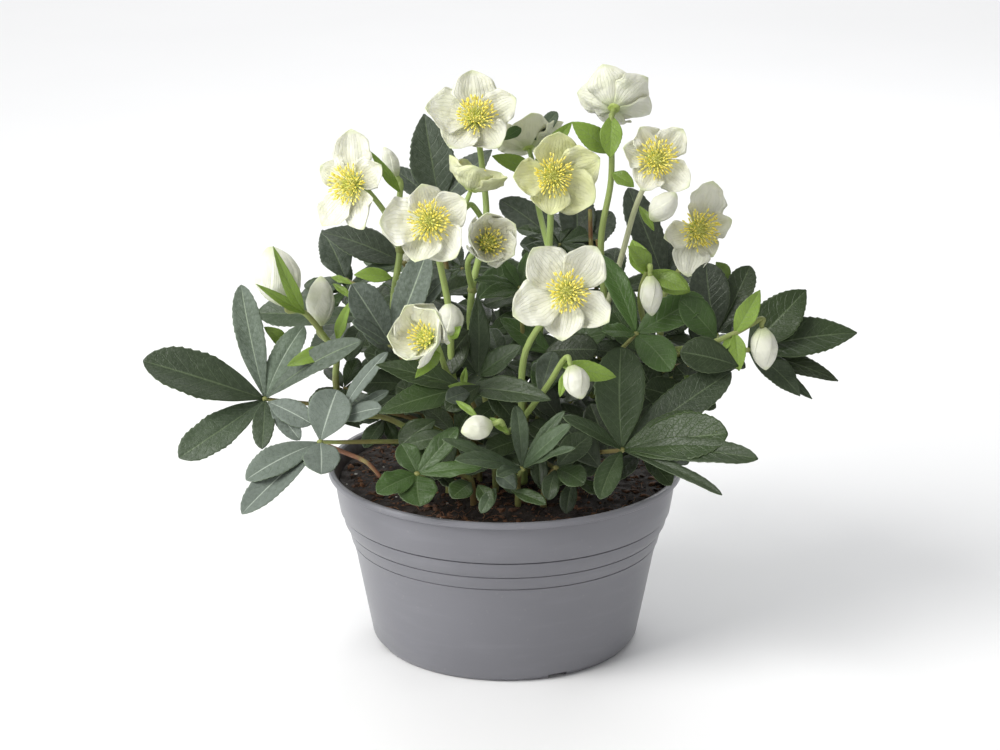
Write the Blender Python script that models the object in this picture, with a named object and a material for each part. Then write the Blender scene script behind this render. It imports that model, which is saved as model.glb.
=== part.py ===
"""A flowering hellebore growing in a grey plastic bowl pot.

Metres, +Z up. The origin is the middle of the pot's underside, and the plant's front faces -Y.
Leaves, blooms and stems are laid out as the eye sees them: a place is a pixel of a 1000 x 750
picture with its distance in front of the pot's axis, and seen() turns it into a point.
"""

import math

import bmesh
import bpy
from mathutils import Matrix, Vector
from mathutils.geometry import intersect_point_line

MM = 0.001
GAP = 0.3 * MM

# The pot: a 230 mm planting bowl, its outside up to the collar and its inside as (radius, height) in mm
RIM_RADIUS = 115 * MM
POT_HEIGHT = 118 * MM
POT_SIDES = 28
POT_OUTSIDE = (
    (0, 0), (83, 0), (87.3, 5), (97.9, 61.5), (100, 68.7), (100.6, 69.2), (102.4, 77.2), (105, 81.5),
    (106.4, 88), (107.4, 88.8),
)
POT_INSIDE = ((111.4, 117), (108.6, 112), (104.2, 88), (97.6, 69), (83.6, 3), (0, 3))
COLLAR_TOP_RADIUS = 111.2 * MM
LIP_HEIGHT = 4.5 * MM
LIP_ROUND = 0.8 * MM
LIP_WIDTH = 2.4 * MM
DRAIN_SLOTS = 4
DRAIN_LENGTH = 16 * MM
DRAIN_WIDTH = 13 * MM
DRAIN_HEIGHT = 3.4 * MM
DRAIN_REACH = 88 * MM
DRAIN_TURN = math.radians(-67)

# The soil
SOIL_EDGE = 108 * MM
SOIL_MIDDLE = 112 * MM
SOIL_RINGS = (1.0, 0.6)
CRUMB = 1.2 * MM
CRUMB_WAVES = ((210, 1.3), (170, 0.4))
EDGE_BAND = 1 * MM
ROOT_DEPTH = 14 * MM
ROOT_SHOW = 3 * MM

# How a stem leaves its hole: the straight rise and the lean, as shares of the way to its first place
RISE_SHARE = 0.25
LEAN_SHARE = 0.12

# Stems, and blades of leaves and sepals
STEM_RADIUS = 2.6 * MM
BRANCH_RADIUS = 1.7 * MM
PETIOLE_RADIUS = 2.1 * MM
BRANCH_TAPER = 0.8
PETIOLE_TAPER = 0.6
STEM_SIDES = 5
STRAIGHT = math.radians(15)
LONGEST_SPAN = 80 * MM
BLADE_ROWS = 3
BROAD_ROWS = 4
BROAD_LEAFLET = 25 * MM
LEAF_THICK = 0.8 * MM
LEAF_TOOTH = 0.12
LEAF_ARCH = 0.09
LEAF_FOLD = 0.18
BRACT_ARCH = 0.22
BRACT_FOLD = 0.2
SEPAL_THICK = 0.9 * MM

# Leaf hubs as (radius, height) shares of the knot, where leaflets and side petioles start on them,
# and the straight length of stem under a bloom
KNOT = 2.4 * MM
KNOT_PROFILE = ((0, -0.8), (1, -0.4), (1, 0.4), (0, 0.8))
LEAFLET_START = 0.45
FORK_LIFT = 0.15
NECK = 12 * MM

# Blooms
SEPALS = 5
OPEN_ANGLE = 12
SEPAL_BREADTH = 0.92
SEPAL_TWIST = 0.2
SEPAL_FOOT = 1.8 * MM
SEPAL_ARCH = -0.08
SEPAL_FOLD = 0.12
TIP_RISE = 7 * MM
HEART_SIDES = 5
HEART_RADIUS = 4.2 * MM
HEART_DEPTH = 2.4 * MM
HEART_WAIST = 0.3
HEART_TOP = 0.85
BOSS_SIDES = 5
BOSS_RADIUS = 3.3 * MM
BOSS_HEIGHT = 3.6 * MM
BOSS_SHOULDER = (0.75, 0.6)
STAMEN_LENGTH = 9 * MM

# A bloom closed by this many degrees keeps its stamens together in a smaller boss
HALF_CLOSED = 35
HALF_CLOSED_BOSS = 0.7
STAMEN_SPREADS = (1.0, 2.5)

# What each degree of closing adds to a sepal's foot, arch and fold
FOOT_PER_DEGREE = 0.015
DEGREES_PER_ARCH = 300
DEGREES_PER_FOLD = 250

# Buds: (height, radius) as shares, and round each sepal (turn, step)
BUD_PROFILE = ((0.0, 0.3), (0.2, 0.82), (0.48, 1.0), (0.76, 0.74), (0.93, 0.34))
BUD_LAP = ((0.0, 1.1), (0.5, 1.04), (0.96, 0.88))
BUD_TWIST = 0.25

# Corners closer than one of these are made one after pieces are fused
SPECKS = (0.28 * MM, 0.2 * MM, 0.12 * MM, 0.06 * MM)

# The eye that the layout is drawn from
EYE_DISTANCE = 1.6
EYE_ELEVATION = math.radians(17.2)
EYE_TARGET = Vector((-0.0033, 0.0, 0.177))
EYE_FOCAL = 2483.0
PICTURE_MIDDLE = (500.0, 375.0)

# Open and half-open blooms: centre pixel, distance in front, the way it faces, then either the
# pixels of its sepals' tips or its reach in mm, how far it is closed in degrees, and its turn
BLOOMS = {
    "bloom_top": dict(at=(476, 119, -20), face=(0.0, -0.8, 0.6),
                      tips=((472, 70), (516, 98), (500, 147), (450, 148), (425, 108))),
    "bloom_left": dict(at=(353, 185, 10), face=(-0.45, -0.85, 0.25),
                       tips=((351, 129), (381, 165), (364, 229), (322, 226), (320, 166))),
    "bloom_centre": dict(at=(430, 222, 70), face=(0.0, -0.95, 0.3),
                         tips=((379, 223), (422, 184), (466, 200), (456, 258), (415, 262))),
    "bloom_cream": dict(at=(553, 176, 25), face=(0.05, -0.97, 0.2),
                        tips=((559, 132), (600, 158), (594, 203), (550, 215), (513, 177))),
    "bloom_front": dict(at=(567, 292, 85), face=(0.0, -0.95, 0.3),
                        tips=((533, 248), (597, 247), (609, 322), (562, 341), (513, 316))),
    "bloom_right": dict(at=(657, 160, 15), face=(0.0, -0.95, 0.3),
                        tips=((640, 127), (683, 129), (689, 187), (642, 190), (623, 148))),
    "bloom_far_right": dict(at=(697, 229, -10), face=(0.2, -0.95, 0.2),
                            tips=((713, 181), (732, 220), (713, 257), (688, 277), (664, 238))),
    "bloom_turned": dict(at=(614, 108, -40), face=(0.15, 0.8, 0.45), reach=29, closed=28, turn=10),
    "bloom_opening": dict(at=(486, 244, 45), face=(0.25, -0.85, 0.4), reach=27, closed=52, turn=20),
    "bloom_green": dict(at=(471, 190, 5), face=(0.35, 0.15, 0.9), reach=26, closed=38, turn=0),
    "bloom_cup": dict(at=(428, 340, 90), face=(-0.4, -0.75, 0.5), reach=31, closed=48, turn=35),
    "bloom_behind": dict(at=(529, 148, -48), face=(-0.2, 0.6, 0.75), reach=28, closed=25, turn=15),
    "bloom_back": dict(at=(425, 235, -88), face=(-0.3, 0.9, 0.3), reach=31, closed=18, turn=30),
}

# Buds: base pixel, tip pixel, each with its distance in front, and the width in mm
BUDS = {
    "bud_left_large": dict(base=(286, 303, 30), tip=(269, 247, 36), width=29),
    "bud_left_small": dict(base=(320, 325, 12), tip=(321, 276, 12), width=18),
    "bud_front": dict(base=(571, 366, 106), tip=(582, 399, 114), width=16),
    "bud_low": dict(base=(492, 424, 112), tip=(461, 432, 116), width=15),
    "bud_hanging": dict(base=(650, 276, 46), tip=(652, 316, 50), width=14),
    "bud_under": dict(base=(652, 219, 24), tip=(676, 193, 30), width=16),
    "bud_right": dict(base=(762, 328, 50), tip=(766, 370, 54), width=17),
    "bud_top_left": dict(base=(397, 176, -20), tip=(384, 147, -22), width=10),
}

# Flowering stems: root (mm right of the axis, mm in front), the path up the main stem, the
# branches with what each carries, and the bracts as (base, tip, width in mm)
STEMS = {
    "stem_left": dict(
        root=(-34, 6), path=((345, 400, 12), (336, 352, 20)), carries="bud_left_small",
        branches=((1, ((306, 314, 28),), "bud_left_large"),),
        bracts=(((302, 314, 28), (273, 246, 64), 8), ((304, 316, 28), (256, 284, 56), 6)),
    ),
    "stem_back_left": dict(
        root=(-18, -12), path=((398, 330, 0), (400, 250, -8), (399, 208, -14)), carries="bud_top_left",
        branches=((1, ((387, 216, -2),), "bloom_left"), (0, ((414, 290, -48),), "bloom_back")),
        bracts=(((400, 192, -16), (370, 151, -4), 6),),
    ),
    "stem_centre": dict(
        root=(-6, 14), path=((455, 385, 38), (449, 310, 50)), carries="bloom_centre",
        branches=((0, ((446, 370, 58),), "bloom_cup"),),
        bracts=(((440, 362, 80), (415, 378, 96), 8), ((449, 340, 52), (461, 326, 60), 7)),
    ),
    "stem_tall": dict(
        root=(4, -8), path=((474, 345, 12), (472, 290, 18), (486, 225, -12), (482, 165, -28)),
        carries="bloom_top",
        branches=((1, ((468, 262, 30),), "bloom_opening"), (2, ((472, 205, 0),), "bloom_green")),
        bracts=(),
    ),
    "stem_cream": dict(
        root=(16, -22), path=((540, 330, 0), (549, 250, 4)), carries="bloom_cream",
        branches=((1, ((538, 205, -30),), "bloom_behind"),),
        bracts=(((537, 170, -40), (492, 156, -34), 10), ((556, 165, -40), (572, 122, -46), 10)),
    ),
    "stem_front": dict(
        root=(12, 24), path=((522, 420, 56), (526, 350, 62)), carries="bloom_front",
        branches=((0, ((548, 385, 80), (562, 362, 96)), "bud_front"), (0, ((508, 432, 92),), "bud_low")),
        bracts=(((562, 358, 90), (616, 377, 92), 11),),
    ),
    "stem_right": dict(
        root=(24, -24), path=((600, 330, -8), (601, 240, -26), (611, 180, -34)), carries="bloom_turned",
        branches=((0, ((622, 255, -4), (636, 206, 2)), "bloom_right"),),
        bracts=(((612, 150, -36), (572, 122, -28), 14), ((613, 112, -26), (610, 158, -20), 13)),
    ),
    "stem_far_right": dict(
        root=(34, -6), path=((652, 352, 8), (662, 300, -6), (684, 262, -18)), carries="bloom_far_right",
        branches=((0, ((640, 300, 20),), "bud_hanging"),
                  (0, ((700, 346, 54), (733, 334, 50)), "bud_right")),
        bracts=(((644, 268, 34), (632, 240, 30), 12), ((650, 262, 36), (690, 292, 34), 13),
                ((735, 333, 50), (760, 290, 50), 12), ((735, 333, 50), (739, 371, 60), 10)),
    ),
}

# Leaves: root, then each hub with its leaflets as (tip pixel and distance, width in mm)
LEAVES = {
    "leaf_left_long": dict(root=(-44, 14), hubs=(
        ((265, 399, 35), (((143, 361, 45), 30), ((179, 458, 65), 23), ((241, 285, 5), 17),
                          ((304, 326, 15), 16), ((362, 341, 52), 16), ((262, 449, 75), 13))),
    )),
    "leaf_left_grey": dict(root=(-36, 38), hubs=(
        ((320, 442, 75), (((337, 390, 60), 25), ((246, 480, 100), 19), ((242, 514, 115), 18),
                          ((321, 474, 108), 21))),
        ((338, 420, 62), (((382, 408, 70), 13), ((389, 391, 56), 8), ((388, 352, 58), 9))),
    )),
    "leaf_left_upper": dict(root=(-26, 22), hubs=(
        ((391, 345, 44), (((352, 284, 52), 22), ((427, 252, 30), 20), ((447, 276, 34), 11),
                          ((352, 322, 66), 12))),
    )),
    "leaf_back_left": dict(root=(-30, -26), hubs=(
        ((404, 263, -28), (((321, 232, -30), 24), ((354, 275, -12), 8))),
        ((346, 280, -42), (((322, 230, -54), 20), ((298, 300, -40), 14))),
        ((440, 205, -58), (((424, 114, -70), 28), ((492, 150, -62), 20), ((388, 165, -72), 16))),
    )),
    "leaf_right_upper": dict(root=(44, 6), hubs=(
        ((716, 335, 14), (((706, 263, 2), 24), ((750, 266, -8), 18), ((700, 308, 34), 6))),
    )),
    "leaf_right_long": dict(root=(46, 24), hubs=(
        ((748, 350, 24), (((806, 290, 10), 27), ((857, 333, 20), 27), ((838, 381, 34), 15),
                          ((800, 396, 48), 17), ((812, 399, 28), 10))),
        ((738, 367, 36), (((681, 354, 42), 23),)),
    )),
    "leaf_right_front": dict(root=(30, 44), hubs=(
        ((622, 450, 85), (((621, 347, 60), 29), ((697, 413, 84), 15), ((731, 372, 62), 24),
                          ((728, 434, 104), 30), ((758, 459, 120), 16), ((722, 495, 132), 8),
                          ((563, 417, 106), 10), ((600, 499, 120), 14))),
    )),
    "leaf_right_middle": dict(root=(30, 14), hubs=(
        ((636, 334, 44), (((671, 371, 70), 21), ((703, 297, 30), 22), ((602, 331, 62), 11),
                          ((600, 255, 12), 14))),
    )),
    "leaf_centre": dict(root=(-6, 40), hubs=(
        ((465, 388, 72), (((379, 413, 92), 19), ((376, 365, 70), 16), ((551, 400, 98), 17))),
        ((478, 376, 40), (((477, 296, 28), 13), ((522, 346, 52), 16), ((452, 340, 36), 12))),
    )),
    "leaf_centre_right": dict(root=(14, 4), hubs=(
        ((520, 288, 30), (((527, 252, 14), 8), ((500, 258, 26), 8), ((474, 280, 40), 8),
                          ((480, 298, 50), 11))),
        ((552, 354, 24), (((608, 333, 30), 18), ((538, 396, 60), 20), ((500, 318, 16), 16))),
    )),
    "leaf_front": dict(root=(8, 62), hubs=(
        ((522, 469, 95), (((516, 405, 90), 10), ((565, 411, 98), 7), ((571, 425, 108), 11),
                          ((575, 448, 120), 6), ((442, 439, 112), 7), ((455, 460, 122), 11),
                          ((497, 476, 124), 8))),
    )),
    "leaf_front_left": dict(root=(-20, 62), hubs=(
        ((417, 474, 98), (((377, 493, 118), 16), ((420, 506, 120), 22), ((482, 467, 104), 10),
                          ((401, 444, 88), 14), ((458, 427, 84), 13))),
    )),
    "leaf_front_right": dict(root=(24, 64), hubs=(
        ((556, 468, 88), (((584, 484, 104), 15), ((590, 436, 78), 16), ((548, 500, 104), 10))),
    )),
    "leaf_back_right": dict(root=(26, -44), hubs=(
        ((575, 262, -56), (((500, 200, -76), 22), ((575, 188, -80), 22), ((612, 212, -70), 20),
                           ((520, 244, -44), 18))),
        ((668, 292, -44), (((628, 188, -64), 20), ((702, 250, -58), 20), ((664, 240, -70), 18))),
    )),
}

# Leaves round the back: root, and hubs as mm right of the axis, in front and up
BACK_LEAVES = {
    "leaf_rear_left": dict(root=(-36, -48), hubs=((-104, -84, 192), (-46, -124, 212))),
    "leaf_rear_right": dict(root=(34, -58), hubs=((96, -92, 196), (34, -128, 184))),
}
BACK_REACH = 66 * MM
BACK_LEAFLETS = 4
BACK_FAN = 208
BACK_SHORTENING = 0.18
BACK_DROPS = (0.02, -0.28)
BACK_WIDTH = 0.34


def view_axes():
    """The eye's place and its forward, right and up directions."""
    back = Vector((0, -math.cos(EYE_ELEVATION), math.sin(EYE_ELEVATION)))
    right = Vector((1, 0, 0))
    return EYE_TARGET + back * EYE_DISTANCE, -back, right, back.cross(right)


EYE, FORWARD, RIGHT, UP = view_axes()


def pixel_ray(px, py):
    """The direction in which the eye sees a pixel."""
    across = (px - PICTURE_MIDDLE[0]) / EYE_FOCAL
    down = (py - PICTURE_MIDDLE[1]) / EYE_FOCAL
    return FORWARD + RIGHT * across - UP * down


def seen(px, py, out):
    """The point that a pixel shows, out millimetres in front of the pot's axis."""
    ray = pixel_ray(px, py)
    return EYE + ray * ((-out * MM - EYE.y) / ray.y)


def seen_on_plane(px, py, point, normal):
    """The point of a plane that a pixel shows."""
    ray = pixel_ray(px, py)
    return EYE + ray * ((point - EYE).dot(normal) / ray.dot(normal))


def clear_scene():
    """Removes every object, so that the script can be run again."""
    for thing in list(bpy.data.objects):
        bpy.data.objects.remove(thing, do_unlink=True)


def material(name, colour, roughness):
    """A plain Principled material."""
    made = bpy.data.materials.new(name)
    made.use_nodes = True
    shader = made.node_tree.nodes["Principled BSDF"]
    shader.inputs["Base Color"].default_value = (*colour, 1)
    shader.inputs["Roughness"].default_value = roughness
    shader.inputs["Metallic"].default_value = 0
    return made


def add_object(name, bm, finish=None):
    """An object made of a bmesh, with its faces pointing out."""
    bmesh.ops.recalc_face_normals(bm, faces=bm.faces)
    if bm.calc_volume(signed=True) < 0:
        bmesh.ops.reverse_faces(bm, faces=bm.faces)
    mesh = bpy.data.meshes.new(name)
    bm.to_mesh(mesh)
    bm.free()
    made = bpy.data.objects.new(name, mesh)
    bpy.context.scene.collection.objects.link(made)
    if finish:
        mesh.materials.append(finish)
    return made


def apply_modifiers(thing):
    """Replaces an object's mesh by what its modifiers make of it."""
    graph = bpy.context.evaluated_depsgraph_get()
    mesh = bpy.data.meshes.new_from_object(thing.evaluated_get(graph))
    thing.modifiers.clear()
    thing.data = mesh


def boolean(thing, others, operation):
    """Joins or cuts an object with others, which are then removed."""
    group = bpy.data.collections.new("operands")
    bpy.context.scene.collection.children.link(group)
    for other in others:
        bpy.context.scene.collection.objects.unlink(other)
        group.objects.link(other)
    step = thing.modifiers.new("join", "BOOLEAN")
    step.operation = operation
    step.operand_type = "COLLECTION"
    step.collection = group
    apply_modifiers(thing)
    for other in others:
        bpy.data.objects.remove(other, do_unlink=True)
    bpy.data.collections.remove(group)


def merge_specks(mesh):
    """Merges the tiny edges left where pieces cross, as far as the solid stays closed."""
    for reach in SPECKS:
        bm = bmesh.new()
        bm.from_mesh(mesh)
        bmesh.ops.remove_doubles(bm, verts=bm.verts, dist=reach)
        bmesh.ops.triangulate(bm, faces=bm.faces)
        whole = all(len(edge.link_faces) == 2 for edge in bm.edges)
        whole = whole and all(vertex.is_manifold for vertex in bm.verts)
        if whole:
            bm.to_mesh(mesh)
        bm.free()
        if whole:
            return


def fuse(name, pieces, finish):
    """One solid from pieces that grow from each other."""
    first = pieces[0]
    first.name = name
    boolean(first, pieces[1:], "UNION")
    merge_specks(first.data)
    first.data.name = name
    first.data.materials.clear()
    first.data.materials.append(finish)
    return first


def turned(profile, sides):
    """A turned solid from (radius, height) pairs. A radius of 0 is a point on the axis."""
    bm = bmesh.new()
    rings = []
    for radius, height in profile:
        if radius == 0:
            rings.append([bm.verts.new((0, 0, height))])
            continue
        angles = [2 * math.pi * i / sides for i in range(sides)]
        rings.append([bm.verts.new((radius * math.cos(a), radius * math.sin(a), height)) for a in angles])
    for low, high in zip(rings, rings[1:]):
        for i in range(sides):
            after = i + 1
            corners = (low[i % len(low)], low[after % len(low)],
                       high[after % len(high)], high[i % len(high)])
            bm.faces.new(list(dict.fromkeys(corners)))
    return bm


def smooth_path(points, steps):
    """Points on a Catmull-Rom curve through the given ones, steps to each span."""
    ends = [points[0] * 2 - points[1], *points, points[-1] * 2 - points[-2]]
    path = []
    for a, b, c, d in zip(ends, ends[1:], ends[2:], ends[3:]):
        for i in range(steps):
            t = i / steps
            path.append(0.5 * (2 * b + (c - a) * t + (2 * a - 5 * b + 4 * c - d) * t**2
                               + (3 * b - a - 3 * c + d) * t**3))
    path.append(points[-1].copy())
    return path


def thinned(path):
    """A path without the points at which it hardly turns."""
    kept = [path[0], path[1]]
    for here, after in zip(path[2:], path[3:]):
        turn = (here - kept[-1]).angle(after - here)
        if turn > STRAIGHT or (here - kept[-1]).length > LONGEST_SPAN:
            kept.append(here)
    return [*kept, path[-1]]


def tube(path, start_radius, end_radius, sides):
    """A closed tapering tube, its rings turned as little as possible from one to the next."""
    bm = bmesh.new()
    across = Vector((1, 0, 0))
    rings = []
    last = len(path) - 1
    for i, point in enumerate(path):
        before = path[1] - path[0] if i < 2 else path[i] - path[i - 1]
        after = path[i + 1] - path[i] if 1 < i < last else before
        along = (before.normalized() + after.normalized()).normalized()
        across = (across - along * across.dot(along)).normalized()
        other = along.cross(across)
        radius = start_radius + (end_radius - start_radius) * i / last
        ring = []
        for k in range(sides):
            angle = 2 * math.pi * k / sides
            ring.append(bm.verts.new(point + (across * math.cos(angle) + other * math.sin(angle)) * radius))
        rings.append(ring)
    for low, high in zip(rings, rings[1:]):
        for k in range(sides):
            bm.faces.new((low[k], low[(k + 1) % sides], high[(k + 1) % sides], high[k]))
    bm.faces.new(reversed(rings[0]))
    bm.faces.new(rings[-1])
    return add_object("tube", bm)


def leaflet_width(t):
    """Share of a leaflet's greatest width along its rib: narrow at the foot, pointed at the tip."""
    return max(0.07, math.sin(math.pi * t**0.86) ** 0.85) if t < 1 else 0.03


def sepal_width(t):
    """Share of a sepal's greatest width: broad above the middle with a short point."""
    return max(0.09, math.sin(math.pi * t**1.12) ** 0.72) if t < 1 else 0.05


def blade(base, tip, up, width, outline, rows, arch, fold, thick, teeth=0.0):
    """A thin arched blade from base to tip, folded along its rib, its top side facing up."""
    rib = tip - base
    length = rib.length
    along = rib / length
    normal = (up - along * up.dot(along)).normalized()
    side = along.cross(normal)
    middle = (base + tip) / 2 + normal * arch * length
    bm = bmesh.new()
    top, under = [], []
    for row in range(rows + 1):
        t = row / rows
        rib_point = base * (1 - t) ** 2 + middle * 2 * t * (1 - t) + tip * t * t
        slope = (middle - base) * (1 - t) + (tip - middle) * t
        lift = side.cross(slope).normalized()
        half = width / 2 * outline(t)
        if teeth and 0 < row < rows and row % 2 == 0:
            half *= 1 - teeth
        points = [rib_point - side * half + lift * half * fold, rib_point,
                  rib_point + side * half + lift * half * fold]
        top.append([bm.verts.new(p + lift * thick / 2) for p in points])
        under.append([bm.verts.new(p - lift * thick / 2) for p in points])
    for row in range(rows):
        for k in (0, 1):
            a, b = row, row + 1
            for rows_of, flip in ((top, False), (under, True)):
                quad = (rows_of[a][k], rows_of[a][k + 1], rows_of[b][k + 1], rows_of[b][k])
                if k == 0:
                    triangles = ((quad[0], quad[1], quad[3]), (quad[1], quad[2], quad[3]))
                else:
                    triangles = ((quad[0], quad[1], quad[2]), (quad[0], quad[2], quad[3]))
                for triangle in triangles:
                    bm.faces.new(reversed(triangle) if flip else triangle)
        for k in (0, 2):
            bm.faces.new((top[row][k], top[row + 1][k], under[row + 1][k], under[row][k]))
    for row in (0, rows):
        bm.faces.new((*top[row], *reversed(under[row])))
    bmesh.ops.triangulate(bm, faces=bm.faces)
    return add_object("blade", bm)


def make_pot(finish):
    """The bowl: rolled lip, tapered collar, three grooves and a tapered body with drain slots."""
    collar_top = POT_HEIGHT - LIP_HEIGHT
    outside = [(radius * MM, height * MM) for radius, height in POT_OUTSIDE]
    outside += [
        (COLLAR_TOP_RADIUS, collar_top), (RIM_RADIUS, collar_top + 0.6 * MM),
        (RIM_RADIUS, POT_HEIGHT - LIP_ROUND), (RIM_RADIUS - LIP_ROUND, POT_HEIGHT),
        (RIM_RADIUS - LIP_WIDTH, POT_HEIGHT),
    ]
    pot = add_object("pot", turned(outside + inside_profile(), POT_SIDES), finish)
    cutters = []
    for i in range(DRAIN_SLOTS):
        bm = bmesh.new()
        bmesh.ops.create_cube(bm, size=1)
        size = Matrix.Diagonal((DRAIN_LENGTH, DRAIN_WIDTH, 2 * DRAIN_HEIGHT, 1))
        turn = Matrix.Rotation(DRAIN_TURN + 2 * math.pi * i / DRAIN_SLOTS, 4, "Z")
        bm.transform(turn @ Matrix.Translation((DRAIN_REACH, 0, 0)) @ size)
        cutters.append(add_object("slot", bm))
    boolean(pot, cutters, "DIFFERENCE")


def inside_profile():
    """The bowl's inside, from the lip down to the middle of the floor."""
    return [(radius * MM, height * MM) for radius, height in POT_INSIDE]


def inside_radius(height):
    """The bowl's inside radius at a height."""
    profile = inside_profile()
    for (r_high, high), (r_low, low) in zip(profile, profile[1:]):
        if low <= height <= high and high > low:
            return r_low + (r_high - r_low) * (height - low) / (high - low)
    return profile[0][0]


def soil_height(x, y):
    """The mound's height above the floor that the pot stands on."""
    share = min(1.0, math.hypot(x, y) / inside_radius(SOIL_EDGE))
    return SOIL_MIDDLE + (SOIL_EDGE - SOIL_MIDDLE) * share**2


def make_soil(roots, finish):
    """Compost that fills the bowl, uneven on top, with a plain hole for each root."""
    below = [(r - GAP, z) for r, z in inside_profile() if z < SOIL_EDGE]
    floor = below[-1][1] + GAP
    below[-2:] = [(below[-2][0], floor), (0, floor)]
    edge = inside_radius(SOIL_EDGE) - GAP
    top = [(edge * share, 0) for share in reversed(SOIL_RINGS)]
    bm = turned([(0, SOIL_MIDDLE), *top, *below], POT_SIDES)
    (waves_x, shift_x), (waves_y, shift_y) = CRUMB_WAVES
    for vertex in bm.verts:
        x, y, z = vertex.co
        if z == 0:
            vertex.co.z = soil_height(x, y)
            if math.hypot(x, y) < edge - EDGE_BAND:
                vertex.co.z += CRUMB * math.sin(x * waves_x + shift_x) * math.cos(y * waves_y + shift_y)
    bmesh.ops.triangulate(bm, faces=bm.faces)
    soil = add_object("soil", bm, finish)
    holes = []
    for x, y, radius in roots:
        depth = soil_height(x, y) - ROOT_DEPTH - GAP
        ends = [Vector((x, y, depth)), Vector((x, y, depth + 3 * ROOT_DEPTH))]
        clearance = GAP / math.cos(math.pi / STEM_SIDES)
        holes.append(tube(ends, radius + clearance, radius + clearance, STEM_SIDES))
    boolean(soil, holes, "DIFFERENCE")


def root_point(root):
    """Where a stem leaves the soil, from its root's place."""
    x, y = root[0] * MM, -root[1] * MM
    return Vector((x, y, soil_height(x, y)))


def rising_path(root, places, steps):
    """A path that stands straight in its hole and then curves through the places."""
    ground = root_point(root)
    foot = ground - Vector((0, 0, ROOT_DEPTH))
    start = ground + Vector((0, 0, ROOT_SHOW))
    rise = (places[0] - start).length * RISE_SHARE
    knee = start + Vector((0, 0, rise)) + (places[0] - start) * LEAN_SHARE
    return [foot, *smooth_path([start, knee, *places], steps)]


def bloom_axes(spec):
    """A bloom's centre and the way it faces."""
    return seen(*spec["at"]), Vector(spec["face"]).normalized()


def carried_end(name):
    """Where a stem's tip meets what it carries, and the way it points there."""
    if name in BLOOMS:
        centre, face = bloom_axes(BLOOMS[name])
        return centre - face * (HEART_DEPTH / 2 + GAP), face
    base, tip = seen(*BUDS[name]["base"]), seen(*BUDS[name]["tip"])
    along = (tip - base).normalized()
    return base - along * GAP, along


def sepal_tips(spec, centre, face):
    """The tips of a bloom's sepals, from their pixels or spread evenly round its face."""
    if "tips" in spec:
        raised = centre + face * TIP_RISE
        return [seen_on_plane(px, py, raised, face) for px, py in spec["tips"]]
    first = face.orthogonal().normalized()
    second = face.cross(first)
    closed = math.radians(spec["closed"])
    tips = []
    for i in range(SEPALS):
        angle = math.radians(spec["turn"]) + 2 * math.pi * i / SEPALS
        outward = first * math.cos(angle) + second * math.sin(angle)
        tips.append(centre + (outward * math.cos(closed) + face * math.sin(closed)) * spec["reach"] * MM)
    return tips


def lathe_piece(profile, sides, centre, face):
    """A small turned piece standing on centre and pointing along face."""
    bm = turned(profile, sides)
    turn = face.to_track_quat("Z", "Y").to_matrix().to_4x4()
    bm.transform(Matrix.Translation(centre) @ turn)
    return add_object("lathe", bm)


def make_bloom(name, spec, white, yellow):
    """A ring of overlapping sepals on a small heart, and the boss of stamens that stands on it."""
    centre, face = bloom_axes(spec)
    half = HEART_DEPTH / 2
    heart = [(0, -half), (HEART_RADIUS, -half * HEART_WAIST),
             (HEART_RADIUS * HEART_TOP, half), (0, half)]
    pieces = [lathe_piece(heart, HEART_SIDES, centre, face)]
    closed = spec.get("closed", OPEN_ANGLE)
    lean = math.radians(closed)
    for tip in sepal_tips(spec, centre, face):
        outward = tip - centre
        outward = (outward - face * outward.dot(face)).normalized()
        base = centre + outward * (SEPAL_FOOT + closed * FOOT_PER_DEGREE * MM)
        length = (tip - base).length
        inward = face * math.cos(lean) - outward * math.sin(lean) + outward.cross(face) * SEPAL_TWIST
        arch = SEPAL_ARCH - closed / DEGREES_PER_ARCH
        fold = SEPAL_FOLD + closed / DEGREES_PER_FOLD
        width = length * SEPAL_BREADTH
        pieces.append(blade(base, tip, inward, width, sepal_width, BLADE_ROWS,
                            arch, fold, SEPAL_THICK))
    fuse(name, pieces, white)
    make_stamens(name + "_stamens", centre + face * (half + 2 * GAP), face, closed, yellow)


def make_stamens(name, foot, face, closed, finish):
    """A low dome whose every facet is drawn out into a stamen."""
    first = face.orthogonal().normalized()
    second = face.cross(first)
    half_closed = closed >= HALF_CLOSED
    boss = BOSS_RADIUS * (HALF_CLOSED_BOSS if half_closed else 1.0)

    def ring(count, turn, radius, height):
        angles = [2 * math.pi * (i + turn) / count for i in range(count)]
        middle = foot + face * height
        return [middle + (first * math.cos(a) + second * math.sin(a)) * radius for a in angles]

    bm = bmesh.new()
    low = [bm.verts.new(p) for p in ring(BOSS_SIDES, 0, boss, 0)]
    narrow, raised = BOSS_SHOULDER
    high = [bm.verts.new(p) for p in ring(BOSS_SIDES, 0.5, boss * narrow, BOSS_HEIGHT * raised)]
    top = bm.verts.new(foot + face * BOSS_HEIGHT)
    bm.faces.new(reversed(low))
    drawn = []
    for i in range(BOSS_SIDES):
        after = (i + 1) % BOSS_SIDES
        drawn += [(low[i], low[after], high[i]), (low[after], high[after], high[i])]
        drawn.append((high[i], high[after], top))
    below = foot - face * BOSS_RADIUS * STAMEN_SPREADS[half_closed]
    for corners in drawn:
        middle = sum((v.co for v in corners), Vector()) / 3
        tip = bm.verts.new(middle + (middle - below).normalized() * STAMEN_LENGTH)
        for a, b in ((0, 1), (1, 2), (2, 0)):
            bm.faces.new((corners[a], corners[b], tip))
    add_object(name, bm, finish)


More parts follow.
